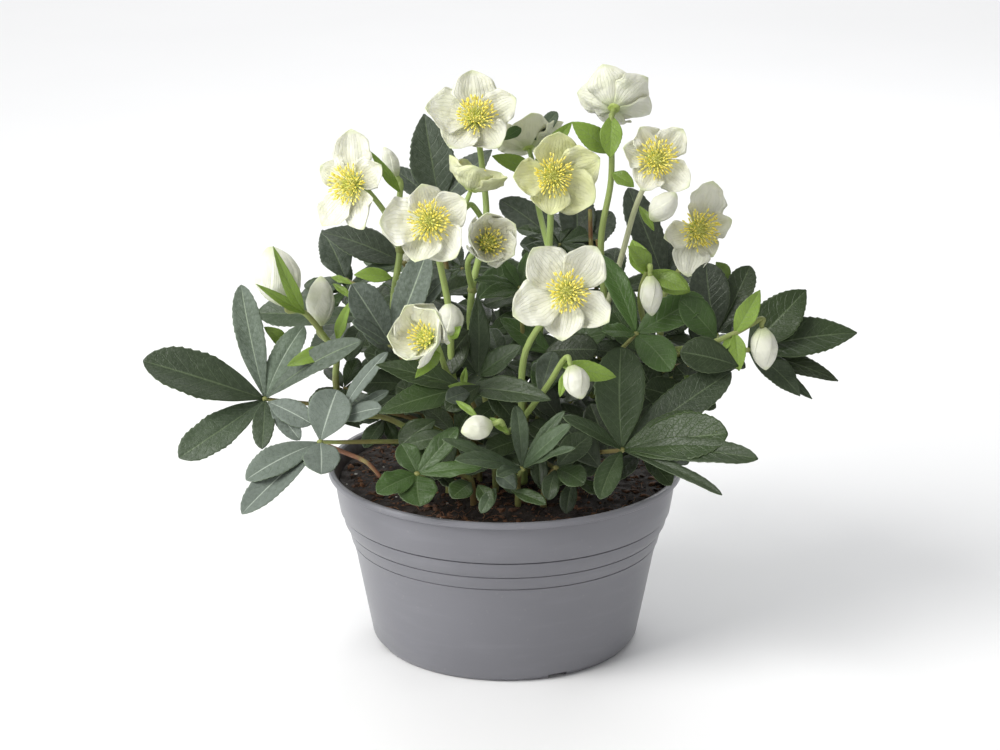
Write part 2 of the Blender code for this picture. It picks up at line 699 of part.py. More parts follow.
def make_bud(name, spec, finish):
    """Sepals folded over each other, each with an edge that stands a step proud of the next."""
    base, tip = seen(*spec["base"]), seen(*spec["tip"])
    along = (tip - base).normalized()
    length = (tip - base).length
    radius = spec["width"] / 2 * MM
    bm = bmesh.new()
    rings = []
    for height, reach in BUD_PROFILE:
        ring = []
        for i in range(SEPALS):
            for turn, step in BUD_LAP:
                angle = 2 * math.pi * (i + turn + height * BUD_TWIST) / SEPALS
                place = Vector((math.cos(angle), math.sin(angle), 0)) * radius * reach * step
                ring.append(bm.verts.new(place + Vector((0, 0, height * length))))
        rings.append(ring)
    count = len(rings[0])
    for low, high in zip(rings, rings[1:]):
        for i in range(count):
            bm.faces.new((low[i], low[(i + 1) % count], high[(i + 1) % count], high[i]))
    foot = bm.verts.new((0, 0, 0))
    point = bm.verts.new((0, 0, length))
    for i in range(count):
        bm.faces.new((rings[0][(i + 1) % count], rings[0][i], foot))
        bm.faces.new((rings[-1][i], rings[-1][(i + 1) % count], point))
    bmesh.ops.triangulate(bm, faces=bm.faces)
    turn = along.to_track_quat("Z", "Y").to_matrix().to_4x4()
    bm.transform(Matrix.Translation(base) @ turn)
    add_object(name, bm, finish)


def nearest(point, spans):
    """The point on any of the straight spans that lies nearest to a given one."""
    places = []
    for start, end in spans:
        place, share = intersect_point_line(point, start, end)
        places.append(start.lerp(end, min(1.0, max(0.0, share))))
    return min(places, key=lambda place: (place - point).length)


def make_stem(name, spec, finish):
    """A main stem with its branches, each ending under what it carries, and its bracts."""
    def to_carried(places, carried):
        end, along = carried_end(carried)
        return [*places, end - along * NECK, end - along * NECK / 3, end]

    places = [seen(*place) for place in spec["path"]]
    main = thinned(rising_path(spec["root"], to_carried(places, spec["carries"]), 2))
    pieces = [tube(main, STEM_RADIUS, BRANCH_RADIUS * BRANCH_TAPER, STEM_SIDES)]
    spans = list(zip(main, main[1:]))
    for level, via, carried in spec["branches"]:
        route = to_carried([places[level], *[seen(*place) for place in via]], carried)
        route[0] = nearest(route[0], spans)
        path = thinned(smooth_path(route, 2))
        spans += zip(path, path[1:])
        pieces.append(tube(path, BRANCH_RADIUS, BRANCH_RADIUS * BRANCH_TAPER, STEM_SIDES))
    for base, tip, width in spec["bracts"]:
        base = nearest(seen(*base), spans)
        pieces.append(blade(base, seen(*tip), -FORWARD, width * MM, leaflet_width, BLADE_ROWS,
                            BRACT_ARCH, BRACT_FOLD, LEAF_THICK))
    fuse(name, pieces, finish)


def make_leaf(name, root, hubs, finish):
    """Petioles from one root, each with leaflets spread from its hub. A leaflet is its tip and width."""
    pieces = []
    knot = [(radius * KNOT, height * KNOT) for radius, height in KNOT_PROFILE]
    facing = (Vector((0, 0, 0.8)) - FORWARD).normalized()
    main = thinned(rising_path(root, [hubs[0][0]], 2))
    fork = main[2]
    for hub, leaflets in hubs:
        rise = (hub + fork) / 2 + Vector((0, 0, FORK_LIFT)) * (hub - fork).length
        path = main if not pieces else smooth_path([fork, rise, hub], 2)
        pieces.append(tube(thinned(path), PETIOLE_RADIUS, PETIOLE_RADIUS * PETIOLE_TAPER, STEM_SIDES))
        pieces.append(lathe_piece(knot, STEM_SIDES, hub, Vector((0, 0, 1))))
        for tip, width in leaflets:
            start = hub + (tip - hub).normalized() * KNOT * LEAFLET_START
            rows = BROAD_ROWS if width > BROAD_LEAFLET else BLADE_ROWS
            pieces.append(blade(start, tip, facing, width, leaflet_width, rows,
                                LEAF_ARCH, LEAF_FOLD, LEAF_THICK, LEAF_TOOTH))
    fuse(name, pieces, finish)


def back_leaflets(hub):
    """Leaflets fanned outward and down from a hub behind the plant."""
    outward = Vector((hub.x, hub.y, 0)).normalized()
    across = Vector((-outward.y, outward.x, 0))
    leaflets = []
    for i in range(BACK_LEAFLETS):
        angle = math.radians(BACK_FAN * (i / (BACK_LEAFLETS - 1) - 0.5))
        direction = outward * math.cos(angle) + across * math.sin(angle)
        reach = BACK_REACH * (1 - BACK_SHORTENING * (1 - math.cos(angle)))
        drop = Vector((0, 0, BACK_DROPS[i % 2])) * reach
        leaflets.append((hub + direction * reach + drop, reach * BACK_WIDTH))
    return leaflets


def main():
    clear_scene()
    grey = material("grey plastic", (0.26, 0.27, 0.29), 0.45)
    earth = material("compost", (0.02, 0.015, 0.012), 0.95)
    green = material("leaf green", (0.06, 0.11, 0.04), 0.5)
    stem_green = material("stem green", (0.22, 0.35, 0.08), 0.5)
    white = material("sepal white", (0.8, 0.82, 0.7), 0.5)
    yellow = material("stamen yellow", (0.75, 0.7, 0.12), 0.6)

    make_pot(grey)
    roots = [(*root_point(spec["root"]).xy, STEM_RADIUS) for spec in STEMS.values()]
    leaves = [*LEAVES.values(), *BACK_LEAVES.values()]
    roots += [(*root_point(spec["root"]).xy, PETIOLE_RADIUS) for spec in leaves]
    make_soil(roots, earth)
    for name, spec in STEMS.items():
        make_stem(name, spec, stem_green)
    for name, spec in LEAVES.items():
        hubs = [(seen(*hub), [(seen(*tip), width * MM) for tip, width in leaflets])
                for hub, leaflets in spec["hubs"]]
        make_leaf(name, spec["root"], hubs, green)
    for name, spec in BACK_LEAVES.items():
        places = [Vector((x, -out, z)) * MM for x, out, z in spec["hubs"]]
        make_leaf(name, spec["root"], [(hub, back_leaflets(hub)) for hub in places], green)
    for name, spec in BLOOMS.items():
        make_bloom(name, spec, white, yellow)
    for name, spec in BUDS.items():
        make_bud(name, spec, white)


main()
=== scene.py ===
import math
import random

import bmesh
import bpy
import numpy as np
from mathutils import Matrix, Vector, noise
from mathutils.geometry import intersect_point_line


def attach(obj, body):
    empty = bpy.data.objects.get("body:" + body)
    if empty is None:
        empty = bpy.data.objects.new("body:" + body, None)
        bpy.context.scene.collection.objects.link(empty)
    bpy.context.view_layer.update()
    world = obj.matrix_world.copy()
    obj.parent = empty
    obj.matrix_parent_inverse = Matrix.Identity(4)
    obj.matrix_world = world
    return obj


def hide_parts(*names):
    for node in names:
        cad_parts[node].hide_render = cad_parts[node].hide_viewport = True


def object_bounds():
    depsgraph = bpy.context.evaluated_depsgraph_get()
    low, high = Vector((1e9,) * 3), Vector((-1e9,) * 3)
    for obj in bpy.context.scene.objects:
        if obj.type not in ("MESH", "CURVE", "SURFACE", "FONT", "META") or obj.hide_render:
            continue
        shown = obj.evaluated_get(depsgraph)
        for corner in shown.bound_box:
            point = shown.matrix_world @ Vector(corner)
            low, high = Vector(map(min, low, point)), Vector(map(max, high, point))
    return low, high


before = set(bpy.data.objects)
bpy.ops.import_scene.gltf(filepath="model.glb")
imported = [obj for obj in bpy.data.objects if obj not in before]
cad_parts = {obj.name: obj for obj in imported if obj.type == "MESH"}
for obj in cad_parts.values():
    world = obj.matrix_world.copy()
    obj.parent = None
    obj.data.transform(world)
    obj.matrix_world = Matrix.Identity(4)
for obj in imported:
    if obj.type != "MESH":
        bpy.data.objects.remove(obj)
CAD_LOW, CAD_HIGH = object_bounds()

# Looks of the potted hellebore. Places are pixels of a 1000 x 750 picture with a distance in mm in
# front of the pot's axis, as in the part's source, and seen() turns them into points.

MM = 0.001
GAP = 0.3 * MM
BOX_MARGIN = 0.15 * MM

# The pot: outside and inside as (radius, height) in mm, with softened corners, and its drain slots
RIM_RADIUS = 115 * MM
POT_SIDES = 176
SHARP_ANGLE = math.radians(38)
POT_OUTSIDE = (
    (0, 0.6), (78, 0.6), (79, 0), (82, 0), (83.6, 0.3), (84.5, 1.2), (87.3, 5), (92.6, 33), (97.7, 60.5),
    (99.6, 67.7), (99.8, 68.2), (99.3, 68.5), (99.3, 68.8), (100.2, 69.1), (100.6, 69.6), (102.1, 76.4),
    (102.3, 76.9), (101.8, 77.2), (101.8, 77.5), (102.8, 77.8), (103.4, 78.6), (105, 81.7), (106.2, 87.2),
    (106.3, 87.8), (105.5, 88.1), (105.5, 88.7), (107.3, 89.0), (107.7, 89.6), (109.6, 101), (111.1, 112.6),
    (111.1, 113.3), (111.6, 113.6), (114.2, 113.7), (114.9, 114.2), (115, 115.4), (115, 116.7),
    (114.6, 117.6), (113.8, 118), (112.9, 118), (112.0, 117.7),
)
POT_INSIDE = ((111.4, 117), (108.6, 112), (104.2, 88), (97.6, 69), (83.6, 3), (0, 3))
DRAIN_SLOTS = 4
DRAIN_SIZE = (16 * MM, 13 * MM, 6.8 * MM)
DRAIN_REACH = 88 * MM
DRAIN_TURN = math.radians(-67)

# The compost: its lumps as (how often, level of the noise, height in mm), crumbs and fibres
SOIL_EDGE = 108 * MM
SOIL_MIDDLE = 112 * MM
SOIL_ROWS = 96
SOIL_SECTORS = 260
SOIL_LIMIT = 0.97
LUMPS = ((60, 1.7, 1.5), (230, 4.1, 1.0), (640, 9.3, 0.5))
CRUMBS = 2000
CRUMB_LEAST = 0.5
CRUMB_SPREAD = 2.4
CRUMB_LIMIT = 0.965
WHITE_BITS = 26
WHITE_SIZE = (0.5, 1.1)
WHITE_TONE = 2.0
FIBRES = 260
FIBRE_BENDS = 4
FIBRE_STRIDE = (1.4, 3.6)
FIBRE_LIMIT = 0.93
ROOT_DEPTH = 14 * MM
ROOT_SHOW = 3 * MM

# Stems: their radii, ends and knots. STALK in a tone tells the material that a form is a stem.
STEM_RADIUS = 2.6 * MM
BRANCH_RADIUS = 1.7 * MM
PETIOLE_RADIUS = 2.1 * MM
TUBE_SIDES = 12
ROUNDING = 0.55
STALK = 2.0
KNOT = 2.4 * MM
NECK = 12 * MM
BRACT_THICK = 0.6 * MM
BRACT_SPREAD = 1.15

# Leaves
LEAF_THICK = 0.8 * MM
LEAFLET_SPREAD = 1.12
LEAF_TONE_SPREAD = 0.12
FORK_AT = 9
BACK_REACH = 66 * MM
BACK_LEAFLETS = 4
BACK_FAN = 208
FAN_LEAFLETS = 6
FAN_TONE = (0.08, 0.14)
FAN_ROOT = 0.35
FAN_BREADTH = 0.4

# Blooms: sepals and heart
SEPALS = 5
SEPAL_THICK = 0.8 * MM
SEPAL_BREADTH = 1.0
SEPAL_BREADTH_SPREAD = (0.92, 1.1)
SEPAL_TWIST = 0.2
SEPAL_ARCH = 0.08
SEPAL_WAVE = (1.2 * MM, 2.3 * MM)
SEPAL_WAVES = (0.9, 2.0)
SEPAL_CRUMPLE = (0.6 * MM, 1.3 * MM)
OPEN_ANGLE = 12
TIP_RISE = 7 * MM
HEART_RADIUS = 4.2 * MM
HEART_DEPTH = 2.4 * MM

# Stamens, nectaries and styles. A bloom closed by more than HALF_CLOSED degrees holds them tight.
STAMENS = 112
FEW_STAMENS = 46
STAMEN_REACH = (7.8 * MM, 11.6 * MM)
ANTHER_SIZE = (0.6 * MM, 1.5 * MM)
NECTARIES = 11
NECTARY_SPREAD = 1.15
STYLES = 6
STYLE_SPREAD = 0.16
HALF_CLOSED = 35
NEARLY_CLOSED = 45
TIGHT = 0.62
GOLDEN_ANGLE = math.pi * (3 - math.sqrt(5))

# Buds: (height, radius) along a bud as shares of its length and half width
BUD_PROFILE = ((0.0, 0.3), (0.2, 0.82), (0.48, 1.0), (0.76, 0.74), (0.93, 0.34))
BUD_SEGMENTS = 30
BUD_ROWS = 30
BUD_POINT = 0.03
BUD_TWIST = 0.16
BUD_SEED = 0.4

# The eye that the layout is drawn from
EYE_DISTANCE = 1.6
EYE_ELEVATION = math.radians(17.2)
EYE_TARGET = Vector((-0.0033, 0.0, 0.177))
EYE_FOCAL = 2483.0
PICTURE_WIDTH = 1000.0
PICTURE_MIDDLE = (500.0, 375.0)
SENSOR = 36.0

# Leaf and stem colours. A pair is the two ends of a range.
LEAF_FRESH = (0.055, 0.115, 0.022)
BRACT_FRESH = (0.14, 0.215, 0.032)
FRESH_RANGE = 1.9
LEAF_DEEP = ((0.008, 0.013, 0.004), (0.020, 0.029, 0.009))
LEAF_SPECK = (0.038, 0.051, 0.020)
# The leaves' waxy grey, partly painted sheen: a lighter grey-green that stands in for their sheen
LEAF_WAXY_SHEEN = ((0.105, 0.132, 0.108), (0.200, 0.235, 0.205))
LEAF_UNDER = (0.2, 0.27, 0.14)
LEAF_VEIN = (0.16, 0.22, 0.11)
LEAF_RIB = ((0.22, 0.29, 0.15), (0.46, 0.52, 0.44))
LEAF_NET = (0.07, 0.10, 0.05)
LEAF_EDGE = (0.2, 0.28, 0.12)
STALK_GREEN = ((0.22, 0.33, 0.075), (0.42, 0.52, 0.18))
STALK_BROWN = ((0.10, 0.035, 0.02), (0.22, 0.10, 0.045))
STALK_PALE = (0.60, 0.61, 0.40)
SIDE_VEINS = 8.5
VEIN_SLANT = 1.9

# Sepal and stamen colours
SEPAL_WHITE = (0.77, 0.77, 0.685)
SEPAL_CREAM = (0.67, 0.69, 0.37)
SEPAL_DRIFT = (0.66, 0.70, 0.44)
SEPAL_VEIN = (0.60, 0.64, 0.42)
SEPAL_SHADE = (0.66, 0.67, 0.55)
SEPAL_FOOT = (0.42, 0.52, 0.14)
SEPAL_TIP = (0.50, 0.60, 0.22)
SEPAL_RIM = (0.74, 0.78, 0.46)
SEPAL_VEINS = 6.0
FILAMENT = ((0.74, 0.76, 0.20), (0.93, 0.90, 0.42))
ANTHER_GOLD = ((0.88, 0.74, 0.07), (0.97, 0.89, 0.28))
NECTARY_GREEN = ((0.42, 0.54, 0.08), (0.62, 0.70, 0.18))

# Pot and compost colours, and where shade is painted near black on the pot's inside: from this height up,
# inward of the middle of the wall, which lies at this radius there and leans out by this slant
POT_GREY = ((0.158, 0.158, 0.176), (0.190, 0.190, 0.210))
POT_FLOW = (0.22, 0.222, 0.242)
POT_DUST = (0.30, 0.295, 0.28)
# Painted shade: the near-black colour laid over the pot's inner wall, where it lies in shadow
PAINTED_INSIDE_SHADE = (0.022, 0.014, 0.010)
INSIDE_SHADE_FROM = 100 * MM
INSIDE_SHADE_TOP = 116.4 * MM
WALL_MIDDLE = 107.8 * MM
WALL_SLANT = 0.22
SOIL_DARK = ((0.006, 0.004, 0.003), (0.026, 0.014, 0.009))
SOIL_BARK = ((0.04, 0.017, 0.009), (0.27, 0.12, 0.055))
SOIL_FIBRE = (0.34, 0.2, 0.1)
SOIL_WHITE = (0.62, 0.60, 0.55)

# The stage: floor, surround, and lamps as place, aim, size, energy and colour
FLOOR_REACH = 9.0
FLOOR_GREY = ((0.90, 0.90, 0.90), (0.93, 0.93, 0.93))
SKY_COLOUR = (0.97, 0.98, 1.0, 1)
SKY_STRENGTH = 0.42
PLANT_MIDDLE = (0, 0, 0.18)
LAMPS = {
    "key": ((-1.3, -0.9, 1.55), PLANT_MIDDLE, 1.2, 41, (1.0, 0.99, 0.97)),
    "side": ((-1.8, -0.5, 0.4), (0, 0, 0.1), 0.9, 9, (0.96, 0.98, 1.0)),
    "fill": ((0.9, -1.8, 0.8), PLANT_MIDDLE, 1.5, 2.4, (1.0, 0.98, 0.95)),
    "back": ((0.5, 1.5, 1.5), PLANT_MIDDLE, 1.2, 8, (0.97, 0.98, 1.0)),
    "floor": ((0.0, 4.5, 3.5), (0.0, 4.5, 0.0), 5.0, 130, (1, 1, 1)),
}

# Open and half-open blooms: centre pixel, distance in front, the way it faces, then either the
# pixels of its sepals' tips or its reach in mm, how far it is closed in degrees, and its turn
BLOOMS = {
    "bloom_top": dict(at=(476, 119, -20), face=(0, -0.8, 0.6),
                      tips=((472, 70), (516, 98), (500, 147), (450, 148), (425, 108))),
    "bloom_left": dict(at=(353, 185, 10), face=(-0.45, -0.85, 0.25),
                       tips=((351, 129), (381, 165), (364, 229), (322, 226), (320, 166))),
    "bloom_centre": dict(at=(430, 222, 70), face=(0, -0.95, 0.3),
                         tips=((379, 223), (422, 184), (466, 200), (456, 258), (415, 262))),
    "bloom_cream": dict(at=(553, 176, 25), face=(0.05, -0.97, 0.2),
                        tips=((559, 132), (600, 158), (594, 203), (550, 215), (513, 177))),
    "bloom_front": dict(at=(567, 292, 85), face=(0, -0.95, 0.3),
                        tips=((533, 248), (597, 247), (609, 322), (562, 341), (513, 316))),
    "bloom_right": dict(at=(657, 160, 15), face=(0, -0.95, 0.3),
                        tips=((640, 127), (683, 129), (689, 187), (642, 190), (623, 148))),
    "bloom_far_right": dict(at=(697, 229, -10), face=(0.2, -0.95, 0.2),
                            tips=((713, 181), (732, 220), (713, 257), (688, 277), (664, 238))),
    "bloom_turned": dict(at=(614, 108, -40), face=(0.15, 0.8, 0.45), reach=29, closed=28, turn=10),
    "bloom_opening": dict(at=(486, 244, 45), face=(0.25, -0.85, 0.4), reach=27, closed=52, turn=20),
    "bloom_green": dict(at=(471, 190, 5), face=(0.35, 0.15, 0.9), reach=26, closed=38, turn=0),
    "bloom_cup": dict(at=(428, 340, 90), face=(-0.4, -0.75, 0.5), reach=31, closed=48, turn=35),
    "bloom_behind": dict(at=(529, 148, -48), face=(-0.2, 0.6, 0.75), reach=28, closed=25, turn=15),
    "bloom_back": dict(at=(425, 235, -88), face=(-0.3, 0.9, 0.3), reach=31, closed=18, turn=30),
}

# Buds: base pixel, tip pixel, each with its distance in front, and the width in mm
BUDS = {
    "bud_left_large": dict(base=(286, 303, 30), tip=(269, 247, 36), width=29),
    "bud_left_small": dict(base=(320, 325, 12), tip=(321, 276, 12), width=18),
    "bud_front": dict(base=(571, 366, 106), tip=(582, 399, 114), width=16),
    "bud_low": dict(base=(492, 424, 112), tip=(461, 432, 116), width=15),
    "bud_hanging": dict(base=(650, 276, 46), tip=(652, 316, 50), width=14),
    "bud_under": dict(base=(652, 219, 24), tip=(676, 193, 30), width=16),
    "bud_right": dict(base=(762, 328, 50), tip=(766, 370, 54), width=17),
    "bud_top_left": dict(base=(397, 176, -20), tip=(384, 147, -22), width=10),
}

# Flowering stems: root (mm right of the axis, mm in front), the path up the main stem, the
# branches with what each carries, and the bracts as (base, tip, width in mm)
STEMS = {
    "stem_left": dict(
        root=(-34, 6), path=((345, 400, 12), (336, 352, 20)), carries="bud_left_small",
        branches=((1, ((306, 314, 28),), "bud_left_large"),),
        bracts=(((302, 314, 28), (273, 246, 64), 8), ((304, 316, 28), (256, 284, 56), 6)),
    ),
    "stem_back_left": dict(
        root=(-18, -12), path=((398, 330, 0), (400, 250, -8), (399, 208, -14)), carries="bud_top_left",
        branches=((1, ((387, 216, -2),), "bloom_left"), (0, ((414, 290, -48),), "bloom_back")),
        bracts=(((400, 192, -16), (370, 151, -4), 6),),
    ),
    "stem_centre": dict(
        root=(-6, 14), path=((455, 385, 38), (449, 310, 50)), carries="bloom_centre",
        branches=((0, ((446, 370, 58),), "bloom_cup"),),
        bracts=(((440, 362, 80), (415, 378, 96), 8), ((449, 340, 52), (461, 326, 60), 7)),
    ),
    "stem_tall": dict(
        root=(4, -8), path=((474, 345, 12), (472, 290, 18), (486, 225, -12), (482, 165, -28)),
        carries="bloom_top",
        branches=((1, ((468, 262, 30),), "bloom_opening"), (2, ((472, 205, 0),), "bloom_green")),
        bracts=(),
    ),
    "stem_cream": dict(
        root=(16, -22), path=((540, 330, 0), (549, 250, 4)), carries="bloom_cream",
        branches=((1, ((538, 205, -30),), "bloom_behind"),),
        bracts=(((537, 170, -40), (492, 156, -34), 10), ((556, 165, -40), (572, 122, -46), 10)),
    ),
    "stem_front": dict(
        root=(12, 24), path=((522, 420, 56), (526, 350, 62)), carries="bloom_front",
        branches=((0, ((548, 385, 80), (562, 362, 96)), "bud_front"),
                  (0, ((508, 432, 92),), "bud_low")),
        bracts=(((562, 358, 90), (616, 377, 92), 11),),
    ),
    "stem_right": dict(
        root=(24, -24), path=((600, 330, -8), (601, 240, -26), (611, 180, -34)), carries="bloom_turned",
        branches=((0, ((622, 255, -4), (636, 206, 2)), "bloom_right"),),
        bracts=(((612, 150, -36), (572, 122, -28), 14), ((613, 112, -26), (610, 158, -20), 13)),
    ),
    "stem_far_right": dict(
        root=(34, -6), path=((652, 352, 8), (662, 300, -6), (684, 262, -18)), carries="bloom_far_right",
        branches=((0, ((640, 300, 20),), "bud_hanging"),
                  (0, ((700, 346, 54), (733, 334, 50)), "bud_right")),
        bracts=(((644, 268, 34), (632, 240, 30), 12), ((650, 262, 36), (690, 292, 34), 13),
                ((735, 333, 50), (760, 290, 50), 12), ((735, 333, 50), (739, 371, 60), 10)),
    ),
}

# Leaves: root, then each hub with its leaflets as a tip's three numbers and a width in mm
LEAVES = {
    "leaf_left_long": dict(root=(-44, 14), hubs=(
        ((265, 399, 35), ((143, 361, 45, 30), (179, 458, 65, 23), (241, 285, 5, 17),
                          (304, 326, 15, 16), (362, 341, 52, 16), (262, 449, 75, 13))),
    )),
    "leaf_left_grey": dict(root=(-36, 38), hubs=(
        ((320, 442, 75), ((337, 390, 60, 25), (246, 480, 100, 19), (242, 514, 115, 18),
                          (321, 474, 108, 21))),
        ((338, 420, 62), ((382, 408, 70, 13), (389, 391, 56, 8), (388, 352, 58, 9))),
    )),
    "leaf_left_upper": dict(root=(-26, 22), hubs=(
        ((391, 345, 44), ((352, 284, 52, 22), (427, 252, 30, 20), (447, 276, 34, 11),
                          (352, 322, 66, 12))),
    )),
    "leaf_back_left": dict(root=(-30, -26), hubs=(
        ((404, 263, -28), ((321, 232, -30, 24), (354, 275, -12, 8))),
        ((346, 280, -42), ((322, 230, -54, 20), (298, 300, -40, 14))),
        ((440, 205, -58), ((424, 114, -70, 28), (492, 150, -62, 20), (388, 165, -72, 16))),
    )),
    "leaf_right_upper": dict(root=(44, 6), hubs=(
        ((716, 335, 14), ((706, 263, 2, 24), (750, 266, -8, 18), (700, 308, 34, 6))),
    )),
    "leaf_right_long": dict(root=(46, 24), hubs=(
        ((748, 350, 24), ((806, 290, 10, 27), (857, 333, 20, 27), (838, 381, 34, 15),
                          (800, 396, 48, 17), (812, 399, 28, 10))),
        ((738, 367, 36), ((681, 354, 42, 23),)),
    )),
    "leaf_right_front": dict(root=(30, 44), hubs=(
        ((622, 450, 85), ((621, 347, 60, 29), (697, 413, 84, 15), (731, 372, 62, 24),
                          (728, 434, 104, 30), (758, 459, 120, 16), (722, 495, 132, 8),
                          (563, 417, 106, 10), (600, 499, 120, 14))),
    )),
    "leaf_right_middle": dict(root=(30, 14), hubs=(
        ((636, 334, 44), ((671, 371, 70, 21), (703, 297, 30, 22), (602, 331, 62, 11),
                          (600, 255, 12, 14))),
    )),
    "leaf_centre": dict(root=(-6, 40), hubs=(
        ((465, 388, 72), ((379, 413, 92, 19), (376, 365, 70, 16), (551, 400, 98, 17))),
        ((478, 376, 40), ((477, 296, 28, 13), (522, 346, 52, 16), (452, 340, 36, 12))),
    )),
    "leaf_centre_right": dict(root=(14, 4), hubs=(
        ((520, 288, 30), ((527, 252, 14, 8), (500, 258, 26, 8), (474, 280, 40, 8),
                          (480, 298, 50, 11))),
        ((552, 354, 24), ((608, 333, 30, 18), (538, 396, 60, 20), (500, 318, 16, 16))),
    )),
    "leaf_front": dict(root=(8, 62), hubs=(
        ((522, 469, 95), ((516, 405, 90, 10), (565, 411, 98, 7), (571, 425, 108, 11),
                          (575, 448, 120, 6), (442, 439, 112, 7), (455, 460, 122, 11),
                          (497, 476, 124, 8))),
    )),
    "leaf_front_left": dict(root=(-20, 62), hubs=(
        ((417, 474, 98), ((377, 493, 118, 16), (420, 506, 120, 22), (482, 467, 104, 10),
                          (401, 444, 88, 14), (458, 427, 84, 13))),
    )),
    "leaf_front_right": dict(root=(24, 64), hubs=(
        ((556, 468, 88), ((584, 484, 104, 15), (590, 436, 78, 16), (548, 500, 104, 10))),
    )),
    "leaf_back_right": dict(root=(26, -44), hubs=(
        ((575, 262, -56), ((500, 200, -76, 22), (575, 188, -80, 22), (612, 212, -70, 20),
                           (520, 244, -44, 18))),
        ((668, 292, -44), ((628, 188, -64, 20), (702, 250, -58, 20), (664, 240, -70, 18))),
    )),
}

# Leaves round the back: root, and hubs as mm right of the axis, in front and up
BACK_LEAVES = {
    "leaf_rear_left": dict(root=(-36, -48), hubs=((-104, -84, 192), (-46, -124, 212))),
    "leaf_rear_right": dict(root=(34, -58), hubs=((96, -92, 196), (34, -128, 184))),
}

# How waxy grey and how fresh green each leaf is; the waxy grey is partly painted sheen
LEAF_TONES = {
    "leaf_left_long": (0.2, 0.12), "leaf_left_grey": (1.3, 0.0), "leaf_left_upper": (0.85, 0.0),
    "leaf_back_left": (0.4, 0.06), "leaf_right_upper": (0.1, 0.06), "leaf_right_long": (0.06, 0.1),
    "leaf_right_front": (0.1, 0.14), "leaf_right_middle": (0.04, 0.62), "leaf_centre": (0.04, 0.16),
    "leaf_centre_right": (0.04, 0.4), "leaf_front": (0.4, 0.24), "leaf_front_left": (0.0, 0.4),
    "leaf_front_right": (0.12, 0.2), "leaf_back_right": (0.4, 0.0),
    "leaf_rear_left": (0.25, 0.1), "leaf_rear_right": (0.25, 0.1),
}

# Leaflets greyer than the rest of their leaf, by their place in it: more waxy grey and painted sheen
GREY_LEAFLETS = {"leaf_left_long": {2: 0.75, 3: 0.7, 4: 0.35}, "leaf_centre": {3: 0.5}}

# Leaves that the part leaves out: hub, reach and turn of a whole leaf, with its leaflets fanned out
FANS = {
    "fill_back": (
        ((430, 298, -22), 42, 20), ((540, 290, -24), 46, 75), ((612, 292, -16), 40, 140),
        ((560, 244, -50), 34, 30), ((462, 268, -42), 32, 100), ((690, 296, -32), 34, 10),
        ((368, 318, -16), 34, 60), ((402, 352, -30), 36, 40), ((500, 330, -42), 44, 10),
        ((640, 306, -44), 36, 70), ((700, 348, -30), 32, 30), ((348, 292, -38), 28, 100),
    ),
    "fill_middle": (
        ((482, 338, -4), 44, 35), ((578, 350, 8), 46, 110), ((656, 338, -6), 42, 55),
        ((424, 384, 16), 36, 15), ((520, 392, 26), 40, 80), ((344, 388, 14), 28, 130),
        ((668, 392, 22), 34, 95), ((606, 384, -16), 44, 20), ((452, 402, -14), 42, 70),
        ((540, 420, 2), 42, 45), ((384, 418, 14), 26, 0), ((502, 362, 34), 30, 100),
    ),
    "fill_front": (
        ((598, 424, 48), 34, 50), ((456, 436, 52), 34, 10), ((540, 448, 58), 30, 90),
        ((640, 452, 44), 30, 120), ((500, 456, 66), 26, 40), ((574, 478, 70), 24, 15),
        ((434, 470, 62), 24, 75),
    ),
}
